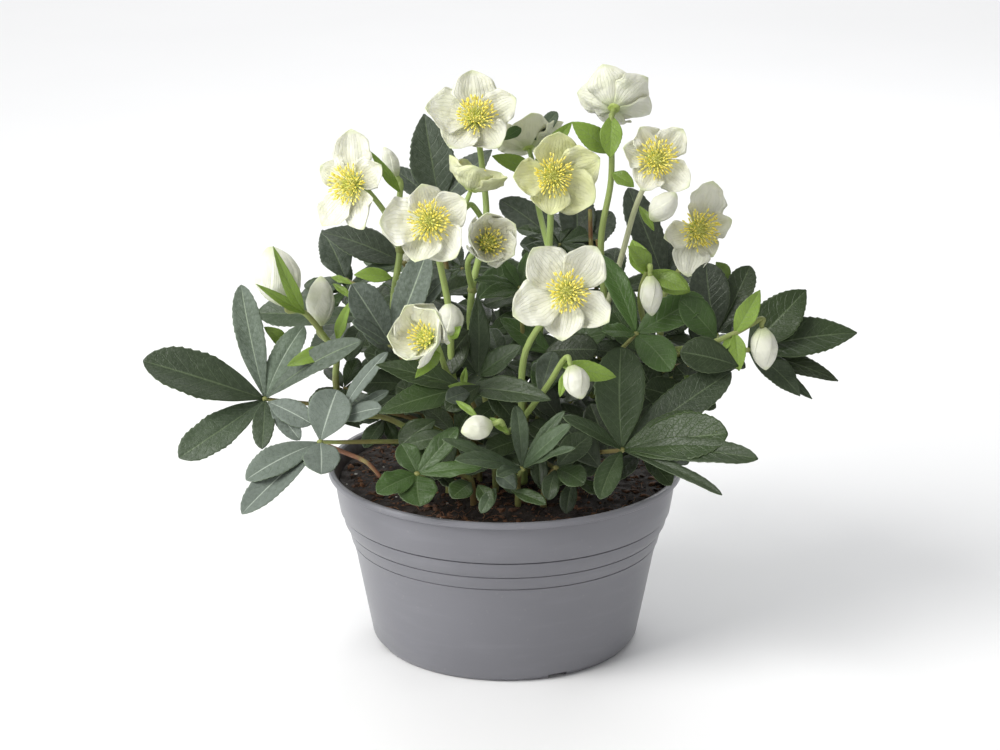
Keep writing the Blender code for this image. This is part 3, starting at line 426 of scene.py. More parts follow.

# Single leaflets and bracts: the base's three numbers, the tip's, width in mm, waxy grey with painted
# sheen, and fresh
SPRIGS = {
    "fill_bracts": (
        (337, 341, 18, 351, 301, 30, 8, 0, 1.3), (331, 277, 14, 352, 284, 18, 5, 0, 1.2),
        (333, 284, 14, 352, 298, 20, 5, 0, 1.2), (392, 278, 4, 354, 275, 10, 11, 0.3, 1.2),
        (335, 349, 34, 287, 366, 46, 11, 0, 0.9), (288, 346, 10, 264, 327, 14, 10, 0.1, 0.7),
        (463, 387, 62, 466, 367, 66, 5, 0, 1.2), (440, 392, 76, 480, 387, 74, 8, 0.1, 0.7),
        (456, 401, 100, 479, 419, 112, 5, 0, 0.9), (490, 418, 104, 508, 433, 110, 6, 0, 0.8),
        (567, 370, 104, 560, 397, 110, 6, 0, 1.3), (612, 173, -32, 634, 187, -26, 11, 0, 0.9),
        (639, 206, 10, 654, 231, 18, 6, 0, 0.8), (684, 376, 50, 698, 387, 58, 6, 0, 0.9),
        (652, 272, 40, 628, 246, 48, 13, 0, 0.9), (654, 276, 40, 688, 290, 50, 13, 0, 0.8),
        (735, 333, 48, 722, 352, 58, 6, 0, 1.0), (729, 280, -8, 716, 262, -12, 10, 0, 0.7),
    ),
    "fill_small_leaves": (
        (536, 140, -44, 521, 121, -46, 9, 0.2, 0.5), (537, 139, -46, 557, 112, -52, 10, 0.5, 0.2),
        (504, 140, -34, 521, 128, -36, 8, 0.1, 0.7), (471, 483, 98, 452, 498, 114, 15, 0, 0.25),
        (478, 485, 102, 491, 505, 114, 11, 0, 0.2), (496, 488, 104, 481, 513, 118, 9, 0.3, 0.2),
        (516, 489, 108, 497, 473, 106, 11, 0.7, 0.1), (512, 491, 100, 546, 504, 116, 9, 0, 0.25),
        (540, 396, 66, 553, 352, 44, 15, 0.45, 0.05), (470, 392, 82, 446, 400, 92, 12, 0.4, 0.05),
        (455, 436, 84, 409, 444, 78, 13, 0, 0.2), (560, 470, 84, 575, 446, 74, 12, 0.1, 0.2),
    ),
    "fill_glossy_leaves": (
        (480, 386, 78, 446, 410, 90, 15, 0, 0.1), (486, 388, 74, 512, 418, 80, 14, 0, 0.1),
        (505, 400, 64, 470, 425, 74, 13, 0, 0.15), (600, 468, 78, 556, 418, 70, 24, 0.1, 0.05),
        (612, 462, 70, 590, 404, 60, 20, 0.1, 0), (560, 420, 50, 530, 380, 44, 18, 0.1, 0),
        (436, 420, 60, 400, 446, 64, 18, 0, 0.15), (430, 452, 78, 402, 466, 84, 14, 0, 0.2),
        (432, 404, 56, 396, 386, 54, 18, 0.05, 0.1), (520, 440, 60, 486, 452, 70, 16, 0, 0.1),
        (606, 446, 70, 640, 420, 62, 16, 0.1, 0.1), (556, 440, 66, 530, 424, 60, 14, 0, 0.1),
        (398, 396, 40, 362, 420, 46, 15, 0.2, 0.1), (470, 330, 34, 438, 376, 48, 20, 0, 0.05),
        (545, 352, 40, 598, 350, 50, 22, 0.05, 0.05), (566, 402, 56, 592, 376, 50, 16, 0.1, 0),
        (412, 296, 6, 450, 272, 0, 16, 0.4, 0), (476, 300, 4, 512, 268, -8, 18, 0.1, 0.3),
        (268, 402, 45, 312, 424, 62, 17, 1.2, 0), (270, 404, 45, 300, 440, 66, 13, 1.1, 0),
        (392, 352, 30, 362, 322, 34, 14, 0.7, 0), (400, 372, 20, 376, 350, 24, 14, 0.2, 0.1),
        (420, 372, 10, 384, 384, 16, 16, 0.1, 0.1), (738, 366, 60, 680, 352, 62, 24, 0.06, 0.1),
        (690, 404, 40, 644, 388, 44, 22, 0.05, 0.1), (700, 396, 30, 676, 366, 34, 20, 0.05, 0.05),
        (660, 404, 36, 640, 366, 30, 20, 0.05, 0.1), (640, 420, 60, 600, 404, 56, 20, 0.05, 0.1),
        (668, 428, 70, 700, 396, 66, 18, 0.05, 0.1), (714, 350, 20, 690, 322, 24, 20, 0.1, 0.15),
        (636, 350, 30, 614, 312, 24, 20, 0.1, 0.3), (716, 338, 40, 680, 300, 40, 22, 0.05, 0.5),
        (380, 418, 50, 352, 398, 46, 15, 0.5, 0), (360, 428, 60, 330, 404, 52, 12, 0.2, 0.1),
        (406, 368, 20, 364, 352, 24, 17, 0.1, 0.1), (404, 384, 24, 358, 384, 30, 18, 0.1, 0.1),
        (398, 398, 30, 360, 406, 34, 15, 0.1, 0.15), (440, 300, -6, 420, 276, -10, 14, 0.2, 0.1),
    ),
}

# Stalks that the part leaves out: root in mm, places, radius in mm, how red
STALKS = (
    ((20, -20), ((594, 300, -26), (591, 244, -34), (590, 210, -36)), 1.7, 0.8),
    ((27, -14), ((604, 320, -18), (600, 262, -26), (597, 240, -28)), 1.3, 1.0),
)
LYING_STALKS = ((((328, 446, 56), (346, 453, 66), (366, 462, 76), (380, 476, 80)), 1.6, 0.95),)
HIDDEN_BUD = dict(base=(452, 334, 50), tip=(448, 303, 52), width=17)

# Cream tint and green foot of each bloom
BLOOM_TONE = (0.1, 0.45)
BLOOM_TONES = {
    "bloom_cream": (1.0, 0.6), "bloom_green": (0.85, 0.9), "bloom_top": (0.12, 0.5),
    "bloom_behind": (0.4, 0.5), "bloom_left": (0.08, 0.5),
}

# How broad each bloom's sepals are, and how much they are shortened
BLOOM_BREADTHS = {
    "bloom_left": 0.8, "bloom_front": 0.9, "bloom_far_right": 0.88, "bloom_right": 0.95,
    "bloom_cream": 1.06, "bloom_cup": 1.3, "bloom_opening": 1.1,
}
BLOOM_LENGTHS = {"bloom_cup": 0.84, "bloom_opening": 0.95}

# How red each flowering stem is, and which branches are pale
STEM_REDS = {
    "stem_left": 0.35, "stem_centre": 0.1, "stem_tall": 0.05, "stem_cream": 0.0, "stem_front": 0.1,
    "stem_right": 0.15, "stem_far_right": 0.3, "stem_back_left": 0.1,
}
PALE_BRANCHES = ("bloom_right",)


def view_axes():
    """The eye's place and its forward, right and up directions."""
    back = Vector((0, -math.cos(EYE_ELEVATION), math.sin(EYE_ELEVATION)))
    right = Vector((1, 0, 0))
    return EYE_TARGET + back * EYE_DISTANCE, -back, right, back.cross(right)


EYE, FORWARD, RIGHT, UP = view_axes()


def pixel_ray(px, py):
    """The direction in which the eye sees a pixel."""
    across = (px - PICTURE_MIDDLE[0]) / EYE_FOCAL
    down = (py - PICTURE_MIDDLE[1]) / EYE_FOCAL
    return FORWARD + RIGHT * across - UP * down


def seen(px, py, out):
    """The point that a pixel shows, out millimetres in front of the pot's axis."""
    ray = pixel_ray(px, py)
    return EYE + ray * ((-out * MM - EYE.y) / ray.y)


def pixel_path(places):
    """The points that a row of pixels with their distances shows."""
    return [seen(*place) for place in places]


def seen_on_plane(px, py, point, normal):
    """The point of a plane that a pixel shows."""
    ray = pixel_ray(px, py)
    return EYE + ray * ((point - EYE).dot(normal) / ray.dot(normal))


def eased(value, low, high):
    """0 below low, 1 above high and smooth between."""
    share = np.clip((value - low) / (high - low), 0, 1)
    return share * share * (3 - 2 * share)


def unit(rows):
    """Rows of vectors made one long."""
    return rows / np.linalg.norm(rows, axis=-1, keepdims=True)


def swung(first, second, angle):
    """The direction at an angle from first towards second."""
    return first * math.cos(angle) + second * math.sin(angle)


def side_ways(along):
    """Two directions square to a given one and to each other."""
    first = along.orthogonal().normalized()
    return first, along.cross(first)


def link(name, data):
    """A new object of the scene that shows the given data."""
    made = bpy.data.objects.new(name, data)
    bpy.context.scene.collection.objects.link(made)
    return made


class Shape:
    """Corners and faces of one piece, with the marks its material reads: place and tone."""

    def __init__(self):
        self.points, self.places, self.tones, self.faces = [], [], [], []
        self.count = 0

    def add(self, points, faces, places, tones):
        points = np.asarray(points, float).reshape(-1, 3)
        self.points.append(points)
        self.places.append(np.broadcast_to(np.asarray(places, float), points.shape))
        self.tones.append(np.broadcast_to(np.asarray(tones, float), points.shape))
        self.faces += [[corner + self.count for corner in face] for face in faces]
        self.count += len(points)

    def build(self, name, finish, stands_for=None):
        """The finished piece, inside the part's box, riding on the part's one body."""
        margin = np.full(3, BOX_MARGIN)
        points = np.clip(np.vstack(self.points), np.array(CAD_LOW) + margin, np.array(CAD_HIGH) - margin)
        mesh = bpy.data.meshes.new(name)
        mesh.from_pydata(points.tolist(), [], self.faces)
        for label, values in (("place", self.places), ("tone", self.tones)):
            layer = mesh.attributes.new(label, "FLOAT_VECTOR", "POINT")
            layer.data.foreach_set("vector", np.vstack(values).astype(np.float32).ravel())
        mesh.polygons.foreach_set("use_smooth", [True] * len(mesh.polygons))
        mesh.materials.append(finish)
        mesh.validate()
        piece = bpy.data.objects.new(name, mesh)
        bpy.context.scene.collection.objects.link(piece)
        return dress(piece, stands_for)


def dress(piece, stands_for=None):
    """Ties a piece to the part's body and to the node it stands for, which it hides."""
    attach(piece, "root")
    if stands_for:
        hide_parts(stands_for)
    return piece


def grid_faces(rows, across, closed=False):
    """Quads of a grid whose corners run across first. A closed grid joins its last column to its first."""
    spans = across if closed else across - 1
    return [(row * across + k, row * across + (k + 1) % across,
             (row + 1) * across + (k + 1) % across, (row + 1) * across + k)
            for row in range(rows - 1) for k in range(spans)]


def swelling(foot, full, swell, narrows, late, blunt, least):
    """An outline: the share of a blade's greatest width at each share of its length."""

    def width(t):
        rise = foot + (1 - foot) * np.sin(np.pi / 2 * np.clip(t / full, 0, 1)) ** swell
        fall = np.clip(1 - (np.clip(t - narrows, 0, 1) / (1 - narrows)) ** late, 0, 1) ** blunt
        return np.maximum(least, rise * fall)

    return width


leaflet_width = swelling(foot=0.06, full=0.6, swell=1.05, narrows=0.56, late=2.5, blunt=0.62, least=0.05)
pointed_width = swelling(foot=0.08, full=0.5, swell=1.0, narrows=0.42, late=1.9, blunt=0.85, least=0.04)
sepal_width = swelling(foot=0.26, full=0.56, swell=1.2, narrows=0.48, late=2.1, blunt=0.72, least=0.03)


def round_width(t):
    """The outline of a round leaflet."""
    return np.maximum(0.05, np.sin(np.pi * np.clip(t, 0, 1) ** 1.25) ** 0.58)


# Leaves whose leaflets are rounder or more pointed than the rest
OUTLINES = {
    "leaf_front_left": round_width, "leaf_right_middle": round_width, "leaf_right_long": pointed_width,
    "leaf_centre": pointed_width, "leaf_back_left": pointed_width, "leaf_centre_right": pointed_width,
}

# Columns of corners across a blade, from edge to edge
LEAF_COLUMNS = np.array([-1, -0.9, -0.72, -0.5, -0.28, -0.12, -0.04,
                         0.04, 0.12, 0.28, 0.5, 0.72, 0.9, 1])
SMALL_COLUMNS = np.array([-1, -0.8, -0.5, -0.2, -0.05, 0.05, 0.2, 0.5, 0.8, 1])
SEPAL_COLUMNS = np.linspace(-1, 1, 15)

# How a blade is worked: its teeth, its thin edge, the groove of its rib and the keel under it
TEETH_FROM = (0.3, 0.55)
TOOTH_LEAN = 0.35
EDGE_THINNING = 0.55
GROOVE_DEPTH, GROOVE_REACH = 0.3, 0.08
KEEL_DEPTH, KEEL_REACH = 0.8, 0.1
RIPPLE = 0.045 / MM
RIPPLE_FROM = (0.25, 0.6)


def blade_faces(rows, across):
    """Faces of a blade: its top, its underside, its two long edges and its two ends."""
    top = grid_faces(rows + 1, across)
    below = (rows + 1) * across
    faces = top + [tuple(below + corner for corner in reversed(face)) for face in top]
    for row in range(rows):
        a, b = row * across, (row + 1) * across
        faces.append((a, b, below + b, below + a))
        faces.append((below + a + across - 1, below + b + across - 1, b + across - 1, a + across - 1))
    last = rows * across
    for k in range(across - 1):
        faces.append((k, below + k, below + k + 1, k + 1))
        faces.append((last + k, last + k + 1, below + last + k + 1, below + last + k))
    return faces


def crumpled(u, column, seed):
    """Soft creases over a blade, strongest at its edges."""
    creases = np.sin(seed * 13 + column * 21 + u * 2.1) * np.abs(u) ** 3
    return creases + 0.7 * np.cos(u * 8 + seed * 5 + column * 3) * 4 * column * (1 - column)


def blade(shape, base, tip, up, width, outline, rows, columns, tone, seed, arch=0.09, fold=0.18,
          thick=LEAF_THICK, teeth=0.0, wave=0.0, waves=2.0, twist=0.0, bend=0.0, groove=1.0,
          fold_power=1.4, crumple=0.0):
    """A thin blade from base to tip with its top facing up: arched, folded, waved and finely toothed."""
    base, tip, up = (np.array(v, float) for v in (base, tip, up))
    length = np.linalg.norm(tip - base)
    along = (tip - base) / length
    normal = unit(up - along * (up @ along))
    side = np.cross(along, normal)
    t = np.linspace(0, 1, rows + 1)
    saw = np.where(np.arange(rows + 1) % 2 == 1, 1.0, 0.0) * eased(t, *TEETH_FROM)
    saw[-1] = 0
    t = t + saw * TOOTH_LEAN / rows
    column = t[:, None]
    middle = (base + tip) / 2 + normal * arch * length + side * bend * length
    line = base * (1 - column) ** 2 + middle * 2 * column * (1 - column) + tip * column**2
    slope = unit((middle - base) * (1 - column) + (tip - middle) * column)
    lift = unit(np.cross(side, slope))
    turn = twist * (column - 0.4)
    sideways = side * np.cos(turn) + lift * np.sin(turn)
    lift = lift * np.cos(turn) - side * np.sin(turn)
    half = width / 2 * outline(t) * (1 - teeth * saw)
    half = (half * (1 + crumple * RIPPLE * np.sin(t * 17 + seed * 9) * eased(t, *RIPPLE_FROM)))[:, None]
    u = columns[None, :]
    across = half * u
    share = half / (width / 2)
    sway = np.sin(seed * 7 + column * waves * 2 * np.pi + (u > 0) * 1.9)
    rise = fold * half * np.abs(u) ** fold_power + wave * sway * u**2 * share
    rise = rise + crumple * crumpled(u, column, seed) * share
    body = thick / 2 * (1 - EDGE_THINNING * u**6)
    rib_top = -GROOVE_DEPTH * thick * np.exp(-((u / GROOVE_REACH) ** 2)) * groove
    rib_under = -KEEL_DEPTH * thick * np.exp(-((u / KEEL_REACH) ** 2)) * groove * (1 - 0.7 * column)
    corners = line[:, None, :] + sideways[:, None, :] * across[:, :, None]
    top = corners + lift[:, None, :] * (rise + body + rib_top)[:, :, None]
    under = corners + lift[:, None, :] * (rise - body + rib_under)[:, :, None]
    marks = np.stack([np.broadcast_to(u, across.shape), np.broadcast_to(column, across.shape),
                      np.full(across.shape, seed)], axis=-1).reshape(-1, 3)
    tones = np.array([(*tone, 0.0)] * len(marks) + [(*tone, 1.0)] * len(marks))
    shape.add(np.vstack([top.reshape(-1, 3), under.reshape(-1, 3)]), blade_faces(rows, len(columns)),
              np.vstack([marks, marks]), tones)


def tube(shape, path, start_radius, end_radius, sides, tone, seed):
    """A tapering stem with rounded ends, its rings turned as little as possible from one to the next."""
    path = [Vector(p) for p in path]
    across = Vector((1, 0, 0.13)).normalized()
    last = len(path) - 1
    rings, marks = [], []
    angles = [2 * math.pi * k / sides for k in range(sides)]
    for i, point in enumerate(path):
        along = (path[min(i + 1, last)] - path[max(i - 1, 0)]).normalized()
        across = (across - along * across.dot(along)).normalized()
        other = along.cross(across)
        radius = start_radius + (end_radius - start_radius) * i / last
        shares = (ROUNDING, 1.0) if i == 0 else (1.0, ROUNDING) if i == last else (1.0,)
        for share in shares:
            shift = along * radius * (1 - ROUNDING) * (1 if i == last else -1) * (share < 1)
            rings.append([point + shift + swung(across, other, a) * radius * share for a in angles])
            marks.append([(a / (2 * math.pi), i / last, seed) for a in angles])
    points = [p for ring in rings for p in ring]
    faces = grid_faces(len(rings), sides, closed=True)
    faces.append(tuple(reversed(range(sides))))
    faces.append(tuple(range(len(points) - sides, len(points))))
    shape.add(points, faces, [m for ring in marks for m in ring], tone)


def ball(shape, centre, along, radius, reach, rows, sides, tone, seed, t=0.5):
    """An egg with its long axis along a direction."""
    centre, along = Vector(centre), Vector(along).normalized()
    first, second = side_ways(along)
    points = [centre - along * reach]
    for r in range(1, rows):
        rise = math.pi * (r / rows - 0.5)
        for k in range(sides):
            ring = swung(first, second, 2 * math.pi * k / sides) * radius * math.cos(rise)
            points.append(centre + ring + along * reach * math.sin(rise))
    points.append(centre + along * reach)
    faces = [tuple(c + 1 for c in face) for face in grid_faces(rows - 1, sides, closed=True)]
    end = len(points) - 1
    faces += [((k + 1) % sides + 1, k + 1, 0) for k in range(sides)]
    faces += [(end - sides + k, end - sides + (k + 1) % sides, end) for k in range(sides)]
    shape.add(points, faces, (0.5, t, seed), tone)


def smooth_path(points, steps):
    """Points on a Catmull-Rom curve through the given ones, steps to each span."""
    ends = [points[0] * 2 - points[1], *points, points[-1] * 2 - points[-2]]
    path = []
    for a, b, c, d in zip(ends, ends[1:], ends[2:], ends[3:]):
        for i in range(steps):
            t = i / steps
            path.append(0.5 * (2 * b + (c - a) * t + (2 * a - 5 * b + 4 * c - d) * t**2
                               + (3 * b - a - 3 * c + d) * t**3))
    path.append(points[-1].copy())
    return path


def nearest(point, spans):
    """The point on any of the straight spans that lies nearest to a given one."""
    places = []
    for start, end in spans:
        place, share = intersect_point_line(point, start, end)
        places.append(start.lerp(end, min(1.0, max(0.0, share))))
    return min(places, key=lambda place: (place - point).length)


def inside_profile():
    """The bowl's inside, from the lip down to the middle of the floor."""
    return [(radius * MM, height * MM) for radius, height in POT_INSIDE]


def inside_radius(height):
    """The bowl's inside radius at a height."""
    profile = inside_profile()
    for (r_high, high), (r_low, low) in zip(profile, profile[1:]):
        if low <= height <= high and high > low:
            return r_low + (r_high - r_low) * (height - low) / (high - low)
    return profile[0][0]


def soil_height(x, y):
    """The mound's height above the floor that the pot stands on."""
    share = min(1.0, math.hypot(x, y) / inside_radius(SOIL_EDGE))
    return SOIL_MIDDLE + (SOIL_EDGE - SOIL_MIDDLE) * share**2


def root_point(root):
    """Where a stem leaves the soil, from its root's place."""
    x, y = root[0] * MM, -root[1] * MM
    return Vector((x, y, soil_height(x, y)))


def rising_path(root, places, steps):
    """A path that stands straight in its hole and then curves through the places."""
    ground = root_point(root)
    foot = ground - Vector((0, 0, ROOT_DEPTH))
    start = ground + Vector((0, 0, ROOT_SHOW))
    rise = (places[0] - start).length * 0.25
    knee = start + Vector((0, 0, rise)) + (places[0] - start) * 0.12
    return [foot, *smooth_path([start, knee, *places], steps)]


def bloom_axes(spec):
    """A bloom's centre and the way it faces."""
    return seen(*spec["at"]), Vector(spec["face"]).normalized()


def carried_end(name):
    """Where a stem's tip meets what it carries, and the way it points there."""
    if name in BLOOMS:
        centre, face = bloom_axes(BLOOMS[name])
        return centre - face * (HEART_DEPTH / 2 + GAP), face
    base, tip = seen(*BUDS[name]["base"]), seen(*BUDS[name]["tip"])
    along = (tip - base).normalized()
    return base - along * GAP, along


def sepal_tips(spec, centre, face):
    """The tips of a bloom's sepals, from their pixels or spread evenly round its face."""
    if "tips" in spec:
        raised = centre + face * TIP_RISE
        return [seen_on_plane(px, py, raised, face) for px, py in spec["tips"]]
    first, second = side_ways(face)
    closed = math.radians(spec["closed"])
    tips = []
    for i in range(SEPALS):
        outward = swung(first, second, math.radians(spec["turn"]) + 2 * math.pi * i / SEPALS)
        tips.append(centre + (outward * math.cos(closed) + face * math.sin(closed)) * spec["reach"] * MM)
    return tips


def make_bloom(name, spec, finish, centre_finish):
    """Broad overlapping sepals with soft ruffled edges, round a dense brush of stamens."""
    rng = random.Random(name)
    centre, face = bloom_axes(spec)
    closed = spec.get("closed", OPEN_ANGLE)
    lean = math.radians(closed)
    tone = BLOOM_TONES.get(name, BLOOM_TONE)
    shape = Shape()
    ball(shape, centre, face, HEART_RADIUS, HEART_DEPTH / 2, 8, 20, (tone[0], 1.0, 0.0), 0.5, 0.0)
    for tip in sepal_tips(spec, centre, face):
        outward = tip - centre
        outward = (outward - face * outward.dot(face)).normalized()
        base = centre + outward * (1.8 + closed * 0.015) * MM
        tip = base + (tip - base) * BLOOM_LENGTHS.get(name, 1.0)
        length = (tip - base).length
        inward = face * math.cos(lean) - outward * math.sin(lean) + outward.cross(face) * SEPAL_TWIST
        breadth = BLOOM_BREADTHS.get(name, SEPAL_BREADTH) * rng.uniform(*SEPAL_BREADTH_SPREAD)
        blade(shape, base, tip, inward, length * breadth, sepal_width, 20, SEPAL_COLUMNS, tone,
              rng.random(), arch=-SEPAL_ARCH - min(closed, 38) / 300, fold=0.2 + min(closed, 40) / 220,
              thick=SEPAL_THICK, wave=rng.uniform(*SEPAL_WAVE), waves=rng.uniform(*SEPAL_WAVES),
              twist=rng.uniform(-0.35, 0.35), bend=rng.uniform(-0.05, 0.05), groove=0.25,
              fold_power=2.0, crumple=rng.uniform(*SEPAL_CRUMPLE))
    shape.build(name + "_fine", finish, name)
    foot = centre + face * (HEART_DEPTH / 2 + 2 * GAP)
    make_stamens(name + "_stamens", foot, face, closed, centre_finish, rng)


def make_stamens(name, foot, face, closed, finish, rng):
    """Stamens with their anthers, a ring of short green nectaries and a few styles."""
    shape = Shape()
    first, second = side_ways(face)
    tight = 1.0 if closed < HALF_CLOSED else TIGHT
    ball(shape, foot + face * 1.2 * MM, face, 4.2 * MM, 2.2 * MM, 6, 14, (0.2, 0.3, 0.0), 0.3, 0.7)

    def direction(angle, spread):
        outward = swung(first, second, angle)
        return outward, (outward * math.sin(spread) + face * math.cos(spread)).normalized()

    for i in range(NECTARIES):
        outward, way = direction(2 * math.pi * i / NECTARIES, NECTARY_SPREAD * tight)
        start = foot + outward * 2.6 * MM
        tube(shape, [start, start + way * 1.6 * MM, start + way * 3.4 * MM + face * 0.6 * MM],
             0.55 * MM, 1.0 * MM, 6, (0.1, 1.0, 0.0), rng.random())
    for i in range(STYLES):
        outward, way = direction(2 * math.pi * (i + 0.5) / STYLES, STYLE_SPREAD)
        start = foot + outward * 0.8 * MM
        tube(shape, [start, start + way * 4 * MM, start + way * 7.4 * MM + outward * 0.8 * MM],
             0.8 * MM, 0.32 * MM, 6, (0.3, 0.55, 0.0), rng.random())
    count = STAMENS if closed < NEARLY_CLOSED else FEW_STAMENS
    for i in range(count):
        share = (i + 0.5) / count
        spread = (0.22 + 1.06 * share**0.75 + rng.uniform(-0.07, 0.07)) * tight
        outward, way = direction(i * GOLDEN_ANGLE + rng.uniform(-0.1, 0.1), spread)
        start = foot + outward * (1.0 + 1.7 * share) * MM
        reach = rng.uniform(*STAMEN_REACH) * (0.82 + 0.18 * tight)
        middle = start + way * reach * 0.55 + outward * 0.5 * MM
        end = start + way * reach + face * reach * 0.14
        tube(shape, [start, middle, end], 0.3 * MM, 0.2 * MM, 5, (0.0, 0.0, 0.0), rng.random())
        ball(shape, end, way + outward * rng.uniform(-0.35, 0.35), *ANTHER_SIZE, 4, 6,
             (1.0, 0.0, 0.0), rng.random())
    shape.build(name + "_fine", finish, name)


def lapped(share):
    """How far a bud's surface stands out where one sepal lies over the next."""
    return 1.05 - 0.1 * share if share < 0.95 else 0.955 + (share - 0.95) / 0.05 * 0.095


def make_bud(name, spec, finish, stands_for=None):
    """Sepals folded over each other round a closed bud."""
    base, tip = pixel_path((spec["base"], spec["tip"]))
    length = (tip - base).length
    radius = spec["width"] / 2 * MM
    heights = [h for h, _ in BUD_PROFILE] + [1.0]
    reaches = [r for _, r in BUD_PROFILE] + [0.04]
    turn = (tip - base).normalized().to_track_quat("Z", "Y").to_matrix()
    shape = Shape()
    points, places = [], []
    segments = SEPALS * BUD_SEGMENTS
    for row in range(BUD_ROWS + 1):
        h = row / BUD_ROWS
        soft = 0.5 - 0.5 * math.cos(math.pi * h)
        h = 0.5 * h + 0.5 * soft
        reach = float(np.interp(h, heights, reaches))
        reach = 0.5 * reach + 0.5 * (math.sin(math.pi * min(1, h * 0.93 + 0.06)) ** 0.7)
        if row == BUD_ROWS:
            reach = BUD_POINT
        fade = math.sin(math.pi * min(1.0, h + 0.06)) ** 0.5
        for k in range(segments):
            lap = (k % BUD_SEGMENTS) / BUD_SEGMENTS
            step = 1 + (lapped(lap) - 1) * fade
            angle = 2 * math.pi * (k / segments + h * BUD_TWIST)
            place = Vector((math.cos(angle), math.sin(angle), 0)) * radius * reach * step
            place += Vector((0, 0, h * length))
            points.append(base + turn @ place)
            places.append((lap * 2 - 1, h, BUD_SEED))
    faces = grid_faces(BUD_ROWS + 1, segments, closed=True)
    faces.append(tuple(reversed(range(segments))))
    faces.append(tuple(range(len(points) - segments, len(points))))
    shape.add(points, faces, places, (0.1, 0.55, 0.0))
    shape.build(name + "_fine" if stands_for else name, finish, stands_for)


def make_stem(name, spec, finish):
    """A main stem with its branches, each ending under what it carries, and its bracts."""
    rng = random.Random(name)
    shape = Shape()
    red = STEM_REDS[name]

    def to_carried(places, carried):
        end, along = carried_end(carried)
        neck = NECK if carried in BLOOMS else NECK * 0.45
        return [*places, end - along * neck, end - along * neck / 3, end]

    places = pixel_path(spec["path"])
    main = rising_path(spec["root"], to_carried(places, spec["carries"]), 7)
    tube(shape, main, STEM_RADIUS, BRANCH_RADIUS * 0.95, TUBE_SIDES, (red, 0.0, STALK), rng.random())
    spans = list(zip(main, main[1:]))
    for level, via, carried in spec["branches"]:
        route = to_carried([places[level], *pixel_path(via)], carried)
        route[0] = nearest(route[0], spans)
        path = smooth_path(route, 7)
        spans += zip(path, path[1:])
        pale = 0.9 if carried in PALE_BRANCHES else 0.0
        tube(shape, path, BRANCH_RADIUS * 1.15, BRANCH_RADIUS * 0.85, TUBE_SIDES, (red, pale, STALK),
             rng.random())
        ball(shape, route[0], path[1] - path[0], STEM_RADIUS * 1.15, STEM_RADIUS * 1.5, 8, 12,
             (red + 0.25, 0.0, STALK), rng.random())
    for base, tip, width in spec["bracts"]:
        base = nearest(seen(*base), spans)
        blade(shape, base, seen(*tip), -FORWARD, width * BRACT_SPREAD * MM, pointed_width, 22,
              LEAF_COLUMNS, (rng.uniform(0.0, 0.12), rng.uniform(0.95, 1.25)), rng.random(), arch=0.22,
              fold=0.2, teeth=0.04, wave=0.7 * MM, waves=1.4, twist=rng.uniform(-0.5, 0.5),
              thick=BRACT_THICK)
    shape.build(name + "_fine", finish, name)


def add_leaflet(shape, hub, tip, width, tone, rng, facing, outline=leaflet_width, fine=True):
    """One leaflet of a leaf, from its hub."""
    start = hub + (tip - hub).normalized() * KNOT * 0.45
    waxy_and_sheen = max(0.0, tone[0] + rng.uniform(-LEAF_TONE_SPREAD, LEAF_TONE_SPREAD))
    fresh = max(0.0, tone[1] + rng.uniform(-LEAF_TONE_SPREAD, LEAF_TONE_SPREAD) * 0.7)
    large = fine and width > 13 * MM
    blade(shape, start, tip, facing, width * LEAFLET_SPREAD, outline, 30 if large else 20,
          LEAF_COLUMNS if large else SMALL_COLUMNS, (waxy_and_sheen, fresh), rng.random(),
          arch=0.09 + rng.uniform(-0.02, 0.03), fold=0.18 + rng.uniform(-0.06, 0.08), teeth=0.055,
          wave=rng.uniform(0.3, 0.9) * MM, waves=rng.uniform(1.2, 2.4), twist=rng.uniform(-0.35, 0.35),
          bend=rng.uniform(-0.06, 0.06), crumple=rng.uniform(0.1, 0.45) * MM)


def make_leaf(name, root, hubs, finish):
    """Petioles from one root, each with leaflets spread from its hub."""
    rng = random.Random(name)
    shape = Shape()
    waxy_and_sheen, fresh = LEAF_TONES[name]
    outline = OUTLINES.get(name, leaflet_width)
    facing = (Vector((0, 0, 0.8)) - FORWARD).normalized()
    red = 0.45 + 0.4 * rng.random()
    main = rising_path(root, [hubs[0][0]], 8)
    fork = main[min(len(main) - 2, FORK_AT)]
    for i, (hub, leaflets) in enumerate(hubs):
        rise = (hub + fork) / 2 + Vector((0, 0, 0.15)) * (hub - fork).length
        path = main if i == 0 else smooth_path([fork, rise, hub], 8)
        tube(shape, path, PETIOLE_RADIUS, PETIOLE_RADIUS * 0.6, 10, (red, 0.0, STALK), rng.random())
        ball(shape, hub, Vector((0, 0, 1)), KNOT * 0.9, KNOT * 0.7, 6, 12, (red * 0.8, 0.0, STALK), 0.5)
        greyer = GREY_LEAFLETS.get(name, {}) if i == 0 else {}
        for k, (tip, width) in enumerate(leaflets):
            add_leaflet(shape, hub, tip, width, (waxy_and_sheen + greyer.get(k, 0.0), fresh), rng, facing, outline)
    shape.build(name + "_fine", finish, name)


def back_leaflets(hub):
    """Leaflets fanned outward and down from a hub behind the plant."""
    outward = Vector((hub.x, hub.y, 0)).normalized()
    across = Vector((-outward.y, outward.x, 0))
    leaflets = []
    for i in range(BACK_LEAFLETS):
        angle = math.radians(BACK_FAN * (i / (BACK_LEAFLETS - 1) - 0.5))
        reach = BACK_REACH * (0.82 + 0.18 * math.cos(angle))
        drop = Vector((0, 0, -0.28 if i % 2 else 0.02)) * reach
        leaflets.append((hub + swung(outward, across, angle) * reach + drop, reach * 0.34))
    return leaflets


